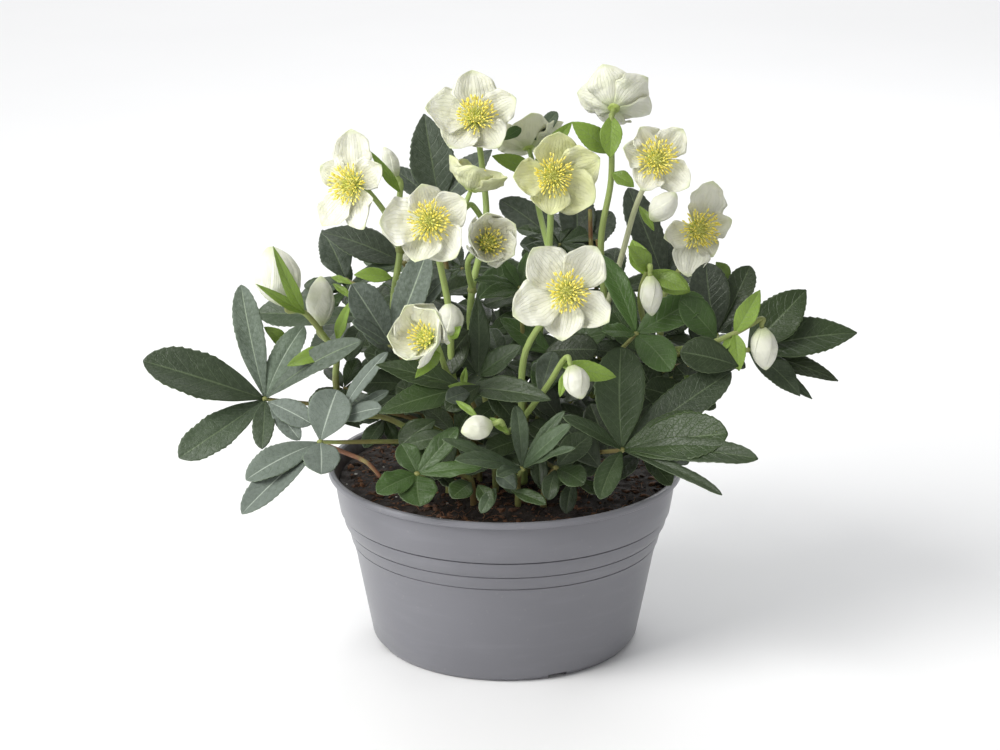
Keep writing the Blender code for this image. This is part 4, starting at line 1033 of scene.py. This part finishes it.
def make_fans(name, fans, finish):
    """Whole leaves of fanned leaflets that fill the plant between the ones in the part."""
    rng = random.Random(name)
    shape = Shape()
    facing = Vector((0, -0.5, 0.86))
    first = Vector((1, 0, 0))
    second = facing.cross(first)
    for place, reach, turn in fans:
        hub = seen(*place)
        root = (hub.x / MM * FAN_ROOT + rng.uniform(-6, 6), -hub.y / MM * FAN_ROOT + rng.uniform(-6, 6))
        tube(shape, rising_path(root, [hub], 8), PETIOLE_RADIUS, PETIOLE_RADIUS * 0.6, 8,
             (0.6, 0.0, STALK), rng.random())
        for i in range(FAN_LEAFLETS):
            angle = math.radians(turn + 360 * i / FAN_LEAFLETS + rng.uniform(-10, 10))
            length = reach * rng.uniform(0.8, 1.08) * MM
            tip = hub + swung(first, second, angle) * length + facing * length * rng.uniform(-0.3, 0.1)
            add_leaflet(shape, hub, tip, length * FAN_BREADTH, FAN_TONE, rng, facing, fine=False)
    shape.build(name, finish)


def make_sprigs(name, sprigs, finish, slot):
    """Single small leaves and bracts that the part leaves out."""
    rng = random.Random(name)
    shape = Shape()
    facing = (Vector((0, 0, 0.5)) - FORWARD).normalized()
    outline = pointed_width if slot == "stems" else leaflet_width
    for *ends, width, waxy_and_sheen, fresh in sprigs:
        base, tip = seen(*ends[:3]), seen(*ends[3:])
        blade(shape, base, tip, facing, width * MM, outline, 20, SMALL_COLUMNS, (waxy_and_sheen, fresh),
              rng.random(), arch=0.14, fold=0.2, teeth=0.04, wave=0.5 * MM,
              twist=rng.uniform(-0.4, 0.4), thick=BRACT_THICK)
    shape.build(name, finish)


def make_stalks(finish):
    """Red-brown stalks seen between the blooms and on the soil."""
    shape = Shape()
    paths = [(rising_path(root, pixel_path(places), 7), radius, red, 0.3 * i)
             for i, (root, places, radius, red) in enumerate(STALKS)]
    paths += [(smooth_path(pixel_path(places), 8), radius, red, 0.7)
              for places, radius, red in LYING_STALKS]
    for path, radius, red, seed in paths:
        tube(shape, path, radius * MM, radius * 0.8 * MM, TUBE_SIDES, (red, 0.0, STALK), seed)
    shape.build("fill_stalks", finish)


def to_mesh(name, bm):
    """A mesh made from what is being built, which is then let go."""
    mesh = bpy.data.meshes.new(name)
    bm.to_mesh(mesh)
    bm.free()
    return mesh


def ring(reach, height, sides):
    """Points round the pot's axis."""
    angles = [2 * math.pi * k / sides for k in range(sides)]
    return [(reach * math.cos(a), reach * math.sin(a), height) for a in angles]


def lathe(name, profile, sides):
    """A turned solid from (radius, height) pairs, both ends on the axis."""
    bm = bmesh.new()
    rings = [[bm.verts.new(point) for point in (ring(*level, sides) if level[0] else [(0, 0, level[1])])]
             for level in profile]
    for low, high in zip(rings, rings[1:]):
        for i in range(sides):
            corners = [low[i % len(low)], low[(i + 1) % len(low)],
                       high[(i + 1) % len(high)], high[i % len(high)]]
            bm.faces.new(list(dict.fromkeys(corners)))
    bmesh.ops.recalc_face_normals(bm, faces=bm.faces)
    return link(name, to_mesh(name, bm))


def make_pot(finish):
    """The bowl: rolled lip, tapered collar, three fine grooves and a tapered body with drain slots."""
    outside = [(min(r * MM, RIM_RADIUS), z * MM) for r, z in POT_OUTSIDE]
    pot = lathe("pot_fine", [*outside, *inside_profile()], POT_SIDES)
    for i in range(DRAIN_SLOTS):
        bm = bmesh.new()
        bmesh.ops.create_cube(bm, size=1)
        turn = Matrix.Rotation(DRAIN_TURN + 2 * math.pi * i / DRAIN_SLOTS, 4, "Z")
        bm.transform(turn @ Matrix.Translation((DRAIN_REACH, 0, 0)) @ Matrix.Diagonal((*DRAIN_SIZE, 1)))
        cutter = link("slot", to_mesh("slot", bm))
        step = pot.modifiers.new("cut", "BOOLEAN")
        step.operation = "DIFFERENCE"
        step.object = cutter
        graph = bpy.context.evaluated_depsgraph_get()
        cut = bpy.data.meshes.new_from_object(pot.evaluated_get(graph))
        pot.modifiers.clear()
        pot.data = cut
        bpy.data.objects.remove(cutter, do_unlink=True)
    pot.data.materials.clear()
    pot.data.materials.append(finish)
    pot.data.shade_smooth()
    pot.data.set_sharp_from_angle(angle=SHARP_ANGLE)
    return dress(pot, "pot")


def ground_noise(x, y):
    """The height of the compost's lumps at a place."""
    lumps = [noise.noise(Vector((x * often, y * often, level))) * high for often, level, high in LUMPS]
    return sum(lumps) * MM


def surface(x, y):
    """The height of the lumpy compost at a place."""
    return soil_height(x, y) + ground_noise(x, y)


def make_soil(finish):
    """Compost with a lumpy top, loose crumbs, bark, fibres and a few white bits."""
    rng = random.Random("soil")
    edge = inside_radius(SOIL_EDGE) - GAP
    points = [(0, 0, surface(0, 0))]
    for row in range(1, SOIL_ROWS + 1):
        rough = 1 if row < SOIL_ROWS else 0.2
        points += [(x, y, soil_height(x, y) + ground_noise(x, y) * rough)
                   for x, y, _ in ring(edge * row / SOIL_ROWS, 0, SOIL_SECTORS)]
    below = [(r - GAP, z) for r, z in inside_profile() if z < SOIL_EDGE][:-1]
    below[-1] = (below[-1][0], below[-1][1] + GAP)
    for reach, z in below:
        points += ring(reach, z, SOIL_SECTORS)
    rings = SOIL_ROWS + len(below)
    faces = [tuple(c + 1 for c in reversed(face)) for face in grid_faces(rings, SOIL_SECTORS, closed=True)]
    faces += [(0, k + 1, (k + 1) % SOIL_SECTORS + 1) for k in range(SOIL_SECTORS)]
    faces.append(tuple(reversed(range(len(points) - SOIL_SECTORS, len(points)))))
    shape = Shape()
    shape.add(points, faces, (0, 0, 0), (0.15, 0, 0))
    shape.build("soil_fine", finish, "soil")

    def spot(limit):
        reach, angle = edge * limit * math.sqrt(rng.random()), rng.uniform(0, 2 * math.pi)
        x, y = reach * math.cos(angle), reach * math.sin(angle)
        return Vector((x, y, surface(x, y)))

    make_crumbs(spot, finish, rng)
    make_fibres(spot, edge, finish, rng)


def make_crumbs(spot, finish, rng):
    """Loose lumps of compost and bark, and a few white bits."""
    crumbs = Shape()
    bm = bmesh.new()
    bmesh.ops.create_icosphere(bm, subdivisions=2, radius=1)
    round_points = [v.co.copy() for v in bm.verts]
    round_faces = [tuple(v.index for v in f.verts) for f in bm.faces]
    bm.free()
    for i in range(CRUMBS + WHITE_BITS):
        white = i >= CRUMBS
        size = rng.uniform(*WHITE_SIZE) if white else CRUMB_LEAST + CRUMB_SPREAD * rng.random() ** 2.6
        place = spot(CRUMB_LIMIT)
        drift = Vector((rng.random(), rng.random(), rng.random())) * 40
        turn = Matrix.Rotation(rng.uniform(0, 6.28), 3, "Z")
        turn = turn @ Matrix.Rotation(rng.uniform(-0.7, 0.7), 3, "X")
        squash = Vector((rng.uniform(0.7, 1.5), rng.uniform(0.6, 1.0), rng.uniform(0.35, 0.8)))
        lumps = []
        for p in round_points:
            grown = p * (1 + 0.45 * noise.noise(p * 1.6 + drift))
            lumps.append(place + turn @ Vector(a * b for a, b in zip(grown, squash)) * size * MM)
        crumbs.add(lumps, round_faces, (0, 0, rng.random()), (WHITE_TONE if white else rng.random(), 0, 0))
    crumbs.build("soil_crumbs", finish)


def make_fibres(spot, edge, finish, rng):
    """Thin fibres that lie on the compost."""
    fibres = Shape()
    for _ in range(FIBRES):
        path = [spot(FIBRE_LIMIT)]
        heading = rng.uniform(0, 2 * math.pi)
        path[0].z += 0.2 * MM
        for _ in range(FIBRE_BENDS):
            heading += rng.uniform(-0.7, 0.7)
            way = Vector((math.cos(heading), math.sin(heading), 0))
            ahead = path[-1] + way * rng.uniform(*FIBRE_STRIDE) * MM
            if ahead.xy.length > edge * SOIL_LIMIT:
                break
            ahead.z = surface(ahead.x, ahead.y) + rng.uniform(0.2, 1.8) * MM
            path.append(ahead)
        if len(path) > 2:
            tube(fibres, smooth_path(path, 3), rng.uniform(0.12, 0.4) * MM, 0.1 * MM, 5,
                 (rng.uniform(0.8, 1.5), 0, 0), rng.random())
    fibres.build("soil_fibres", finish)


class Finish:
    """Builds one material's nodes."""

    def __init__(self, name, roughness):
        self.made = bpy.data.materials.new(name)
        self.made.use_nodes = True
        self.nodes = self.made.node_tree.nodes
        self.links = self.made.node_tree.links
        self.shader = self.nodes["Principled BSDF"]
        self.give("Roughness", roughness)
        self.give("Metallic", 0)

    def put(self, socket, value):
        """Links a socket to a value's output, or sets it to a number or colour."""
        if isinstance(value, bpy.types.NodeSocket):
            self.links.new(value, socket)
        else:
            socket.default_value = value

    def give(self, name, value):
        self.put(self.shader.inputs[name], value)

    def node(self, kind, inputs, **settings):
        """The outputs of a new node with its settings and the given inputs."""
        made = self.nodes.new("ShaderNode" + kind)
        for name, value in settings.items():
            setattr(made, name, value)
        for place, value in inputs:
            self.put(made.inputs[place], value)
        return made.outputs

    def reckon(self, operation, *values, clamp=False):
        return self.node("Math", enumerate(values), operation=operation, use_clamp=clamp)[0]

    def times(self, first, second, clamp=False):
        return self.reckon("MULTIPLY", first, second, clamp=clamp)

    def plus(self, first, second):
        return self.reckon("ADD", first, second)

    def minus(self, first, second):
        return self.reckon("SUBTRACT", first, second)

    def away(self, value):
        return self.reckon("ABSOLUTE", value)

    def split(self, vector):
        """The three numbers of a vector."""
        return self.node("SeparateXYZ", [(0, vector)])

    def marks(self, name):
        """The three numbers that a piece carries under a name."""
        return self.split(self.node("Attribute", (), attribute_name=name)["Vector"])

    def place(self, stretch=(1, 1, 1)):
        """Object coordinates, stretched."""
        where = self.node("TexCoord", ())["Object"]
        return self.node("Mapping", (("Vector", where), ("Scale", stretch)))[0]

    def streaks(self, u, t):
        """Coordinates in which a noise is drawn out along a stem."""
        turn = self.times(u, 2 * math.pi)
        ways = [self.times(self.reckon(wave, turn), 2.0) for wave in ("SINE", "COSINE")]
        return self.node("CombineXYZ", enumerate((*ways, self.times(t, 1.5))))[0]

    def cloud(self, scale, detail=3.0, where=None):
        """A soft noise."""
        inputs = (("Vector", where or self.place()), ("Scale", scale), ("Detail", detail))
        return self.node("TexNoise", inputs)[0]

    def net(self, scale):
        """The distance to the nearest thread of a fine net."""
        inputs = (("Vector", self.place()), ("Scale", scale))
        return self.node("TexVoronoi", inputs, feature="DISTANCE_TO_EDGE")[0]

    def step(self, value, low, high, to_low=0.0, to_high=1.0):
        """A smooth step from one value to another."""
        inputs = enumerate((value, low, high, to_low, to_high))
        return self.node("MapRange", inputs, interpolation_type="SMOOTHSTEP")[0]

    def fade(self, value, low, high):
        """1 below low, 0 above high and smooth between."""
        return self.step(value, low, high, 1.0, 0.0)

    def lines(self, way, breadth):
        """Thin lines, one each time that a number grows by 1."""
        gap = self.away(self.minus(self.reckon("FRACT", way), 0.5))
        return self.fade(gap, 0.0, breadth)

    def blend(self, share, low, high):
        """Two colours or numbers mixed."""
        low, high = ((*value, 1.0) if isinstance(value, tuple) else value for value in (low, high))
        inputs = ((0, share), (6, low), (7, high))
        return self.node("Mix", inputs, data_type="RGBA", clamp_factor=True)[2]

    def bump(self, height, strength, distance):
        inputs = (("Height", height), ("Strength", strength), ("Distance", distance))
        self.give("Normal", self.node("Bump", inputs)[0])


def leaf_colour(f, fresh_colour, slow, quick):
    """The colour of a leaf and the relief of its veins."""
    u, t, _ = f.marks("place")
    waxy_and_sheen, fresh, under = f.marks("tone")
    out = f.away(u)
    # Side veins run forward from the rib, and a fine net lies between them
    way = f.plus(f.minus(f.times(t, SIDE_VEINS), f.times(out, VEIN_SLANT)), f.times(f.cloud(90, 1), 0.5))
    vein = f.times(f.lines(way, 0.085), f.fade(out, 0.6, 0.97))
    rib = f.fade(out, 0.015, 0.055)
    net = f.fade(f.net(420), 0.0, 0.12)
    deep = f.blend(f.step(quick, 0.4, 0.7, 0.0, 0.32), f.blend(slow, *LEAF_DEEP), LEAF_SPECK)
    bright = f.blend(slow, fresh_colour, tuple(c * FRESH_RANGE for c in fresh_colour))
    # Waxy grey over the deep green: partly the leaf's wax, partly painted sheen
    colour = f.blend(f.times(waxy_and_sheen, f.step(quick, 0.3, 0.7, 0.7, 1.0)), deep, f.blend(quick, *LEAF_WAXY_SHEEN))
    colour = f.blend(fresh, colour, bright)
    colour = f.blend(f.step(under, 0.3, 0.7), colour, f.blend(0.55, colour, LEAF_UNDER))
    colour = f.blend(f.times(vein, f.step(fresh, 0.3, 1.0, 0.14, 0.4)), colour, LEAF_VEIN)
    pale_rib = f.blend(f.step(waxy_and_sheen, 0.6, 1.2), *LEAF_RIB)
    colour = f.blend(f.times(rib, f.step(waxy_and_sheen, 0.2, 1.0, 0.3, 0.75)), colour, pale_rib)
    colour = f.blend(f.times(net, 0.12), colour, LEAF_NET)
    colour = f.blend(f.times(f.step(out, 0.95, 1.0), 0.35), colour, LEAF_EDGE)
    relief = f.plus(f.times(f.plus(vein, f.times(net, 0.45)), -1.0), f.times(quick, 0.7))
    return colour, f.plus(relief, f.times(slow, 1.5))


def stalk_colour(f, slow):
    """The colour of a stem, light green or red-brown with fine streaks, and its relief."""
    u, t, _ = f.marks("place")
    red, pale, _ = f.marks("tone")
    streak = f.cloud(9, 3, f.streaks(u, t))
    blotch = f.times(red, f.step(slow, 0.3, 0.62, 0.55, 1.25), clamp=True)
    stalk = f.blend(blotch, f.blend(streak, *STALK_GREEN), f.blend(streak, *STALK_BROWN))
    return f.blend(f.times(pale, f.step(slow, 0.25, 0.65, 0.7, 1.0)), stalk, STALK_PALE), streak


def plant_green(name, fresh_colour):
    """Leaf and stem finish: it reads how waxy grey with painted sheen, how fresh and which side from the
    piece's marks.

    A tone with 2 in its third number is a stem, and its first number is then how red it is.
    """
    f = Finish(name, 0.42)
    waxy_and_sheen, _, side = f.marks("tone")
    stem = f.step(side, 1.4, 1.6)
    slow = f.cloud(55, 3)
    quick = f.cloud(420, 4)
    leaf, relief = leaf_colour(f, fresh_colour, slow, quick)
    stalk, streak = stalk_colour(f, slow)
    f.give("Specular IOR Level", 0.36)
    f.give("Base Color", f.blend(stem, leaf, stalk))
    f.give("Roughness", f.plus(f.step(waxy_and_sheen, 0.2, 0.9, 0.31, 0.56), f.times(quick, 0.14)))
    f.bump(f.blend(stem, relief, streak), 0.42, 0.5 * MM)
    return f.made


def sepal_finish(name, white, cream):
    """Soft petal white with fine veins that fan from the foot, and green at the foot and tip."""
    f = Finish(name, 0.5)
    u, t, _ = f.marks("place")
    creamy, foot, _ = f.marks("tone")
    drift = f.cloud(70, 2)
    soft = f.cloud(240, 4)
    way = f.plus(f.times(u, SEPAL_VEINS), f.times(drift, 1.4))
    vein = f.times(f.lines(way, 0.16), f.fade(t, 0.72, 0.98))
    colour = f.blend(creamy, white, cream)
    tints = (
        (f.times(f.step(drift, 0.45, 0.7), 0.3), SEPAL_DRIFT),
        (f.times(vein, 0.13), SEPAL_VEIN),
        (f.step(f.cloud(110, 4), 0.42, 0.75, 0.0, 0.45), SEPAL_SHADE),
        (f.times(f.fade(t, 0.02, 0.34), foot), SEPAL_FOOT),
        (f.times(f.step(t, 0.86, 1.0), 0.45), SEPAL_TIP),
        (f.times(f.step(f.away(u), 0.9, 1.0), 0.25), SEPAL_RIM),
    )
    for share, tint in tints:
        colour = f.blend(share, colour, tint)
    f.give("Base Color", colour)
    f.give("Subsurface Weight", 0.12)
    f.give("Subsurface Radius", (4 * MM, 4 * MM, 2.5 * MM))
    f.give("Subsurface Scale", 0.6)
    f.give("Roughness", f.step(soft, 0.3, 0.7, 0.42, 0.58))
    folds = f.plus(f.times(f.cloud(60, 2), 5.0), f.times(soft, 1.6))
    f.bump(f.plus(f.times(vein, -0.5), folds), 0.6, 0.9 * MM)
    return f.made


def stamen_finish():
    """Pale filaments, golden anthers and green nectaries, as the piece's marks say."""
    f = Finish("stamen yellow", 0.55)
    _, t, seed = f.marks("place")
    anther, green, _ = f.marks("tone")
    grain = f.cloud(1800, 2)
    gold = f.blend(f.plus(f.times(seed, 0.6), f.times(grain, 0.4)), *ANTHER_GOLD)
    colour = f.blend(anther, f.blend(f.step(t, 0.0, 0.9), *FILAMENT), gold)
    f.give("Base Color", f.blend(green, colour, f.blend(grain, *NECTARY_GREEN)))
    f.bump(grain, 0.4, 0.3 * MM)
    return f.made


def with_inside_shade(f, colour):
    """The pot's colour with painted shade, near black, on its inside, up to a little below the lip."""
    x, y, z = f.split(f.place())
    reach = f.reckon("SQRT", f.plus(f.times(x, x), f.times(y, y)))
    middle = f.plus(f.times(f.minus(z, INSIDE_SHADE_FROM), WALL_SLANT), WALL_MIDDLE)
    inside = f.times(f.step(f.minus(middle, reach), -GAP, GAP),
                     f.step(z, INSIDE_SHADE_FROM - 0.5 * MM, INSIDE_SHADE_FROM + 0.5 * MM))
    inside = f.times(inside, f.fade(z, INSIDE_SHADE_TOP - 0.4 * MM, INSIDE_SHADE_TOP + 0.4 * MM))
    # Painted shade: near-black patches over the inside wall that stand in for its shadow
    painted_shade = f.times(inside, f.step(f.cloud(160, 4), 0.25, 0.6, 0.7, 0.98))
    return f.blend(painted_shade, colour, PAINTED_INSIDE_SHADE)


def pot_finish():
    """Grey moulded plastic with a fine satin grain, faint flow marks and a little dust."""
    f = Finish("grey plastic", 0.42)
    slow = f.cloud(14, 3)
    flow = f.cloud(26, 3, f.place((1, 1, 6)))
    grain = f.cloud(900, 3)
    colour = f.blend(slow, *POT_GREY)
    colour = f.blend(f.times(f.step(flow, 0.5, 0.72), 0.2), colour, POT_FLOW)
    colour = f.blend(f.times(f.step(f.cloud(300, 2), 0.68, 0.76), 0.2), colour, POT_DUST)
    f.give("Base Color", with_inside_shade(f, colour))
    f.give("Roughness", f.plus(f.times(slow, 0.14), f.plus(f.times(grain, 0.1), 0.22)))
    f.bump(grain, 0.18, 0.2 * MM)
    return f.made


def soil_finish():
    """Dark moist compost with red-brown bark and pale bits, as the piece's marks say."""
    f = Finish("compost", 0.92)
    kind = f.marks("tone")[0]
    slow = f.cloud(120, 4)
    quick = f.cloud(900, 5)
    colour = f.blend(f.step(kind, 0.1, 0.95), f.blend(slow, *SOIL_DARK), f.blend(quick, *SOIL_BARK))
    colour = f.blend(f.step(kind, 1.1, 1.5, 0.0, 0.7), colour, SOIL_FIBRE)
    f.give("Base Color", f.blend(f.step(kind, 1.7, 1.9), colour, SOIL_WHITE))
    f.give("Roughness", f.step(slow, 0.35, 0.6, 0.98, 0.72))
    f.bump(f.plus(slow, quick), 0.9, 1.2 * MM)
    return f.made


def make_plant():
    """Every piece of the object."""
    pot_grey = pot_finish()
    compost = soil_finish()
    leaf_green = plant_green("leaf green", LEAF_FRESH)
    stem_green = plant_green("stem green", BRACT_FRESH)
    white = sepal_finish("sepal white", SEPAL_WHITE, SEPAL_CREAM)
    yellow = stamen_finish()
    make_pot(pot_grey)
    make_soil(compost)
    for name, spec in STEMS.items():
        make_stem(name, spec, stem_green)
    for name, spec in LEAVES.items():
        hubs = [(seen(*hub), [(seen(*tip), width * MM) for *tip, width in leaflets])
                for hub, leaflets in spec["hubs"]]
        make_leaf(name, spec["root"], hubs, leaf_green)
    for name, spec in BACK_LEAVES.items():
        places = [Vector((x, -out, z)) * MM for x, out, z in spec["hubs"]]
        make_leaf(name, spec["root"], [(hub, back_leaflets(hub)) for hub in places], leaf_green)
    for name, spec in BLOOMS.items():
        make_bloom(name, spec, white, yellow)
    for name, spec in BUDS.items():
        make_bud(name, spec, white, name)
    make_bud("fill_bud", HIDDEN_BUD, white)
    for name, fans in FANS.items():
        make_fans(name, fans, leaf_green)
    for name, sprigs in SPRIGS.items():
        bracts = name == "fill_bracts"
        make_sprigs(name, sprigs, stem_green if bracts else leaf_green, "stems" if bracts else "leaves")
    make_stalks(stem_green)


def lamp(name, place, aim, size, energy, colour):
    """A soft square lamp aimed at a point."""
    light = bpy.data.lights.new(name, "AREA")
    light.size = size
    light.energy = energy
    light.color = colour
    made = link(name, light)
    made.location = place
    made.rotation_euler = (Vector(place) - Vector(aim)).to_track_quat("Z", "Y").to_euler()


def make_studio():
    """A pale floor, soft lamps, an even surround and the camera at the picture's place."""
    mesh = bpy.data.meshes.new("floor")
    corners = [(x * FLOOR_REACH, y * FLOOR_REACH, 0) for x, y in ((-1, -1), (1, -1), (1, 1), (-1, 1))]
    mesh.from_pydata(corners, [], [(0, 1, 2, 3)])
    f = Finish("pale floor", 0.8)
    f.give("Base Color", f.blend(f.cloud(3, 2), *FLOOR_GREY))
    mesh.materials.append(f.made)
    link("floor", mesh)

    for name, values in LAMPS.items():
        lamp(name, *values)

    world = bpy.context.scene.world or bpy.data.worlds.new("World")
    bpy.context.scene.world = world
    world.use_nodes = True
    sky = world.node_tree.nodes["Background"]
    sky.inputs["Color"].default_value = SKY_COLOUR
    sky.inputs["Strength"].default_value = SKY_STRENGTH

    camera = link("camera", bpy.data.cameras.new("camera"))
    camera.data.sensor_width = SENSOR
    camera.data.lens = EYE_FOCAL * SENSOR / PICTURE_WIDTH
    camera.location = EYE
    camera.rotation_euler = (-FORWARD).to_track_quat("Z", "Y").to_euler()
    bpy.context.scene.camera = camera
    bpy.context.scene.view_settings.view_transform = "Standard"


make_plant()
make_studio()
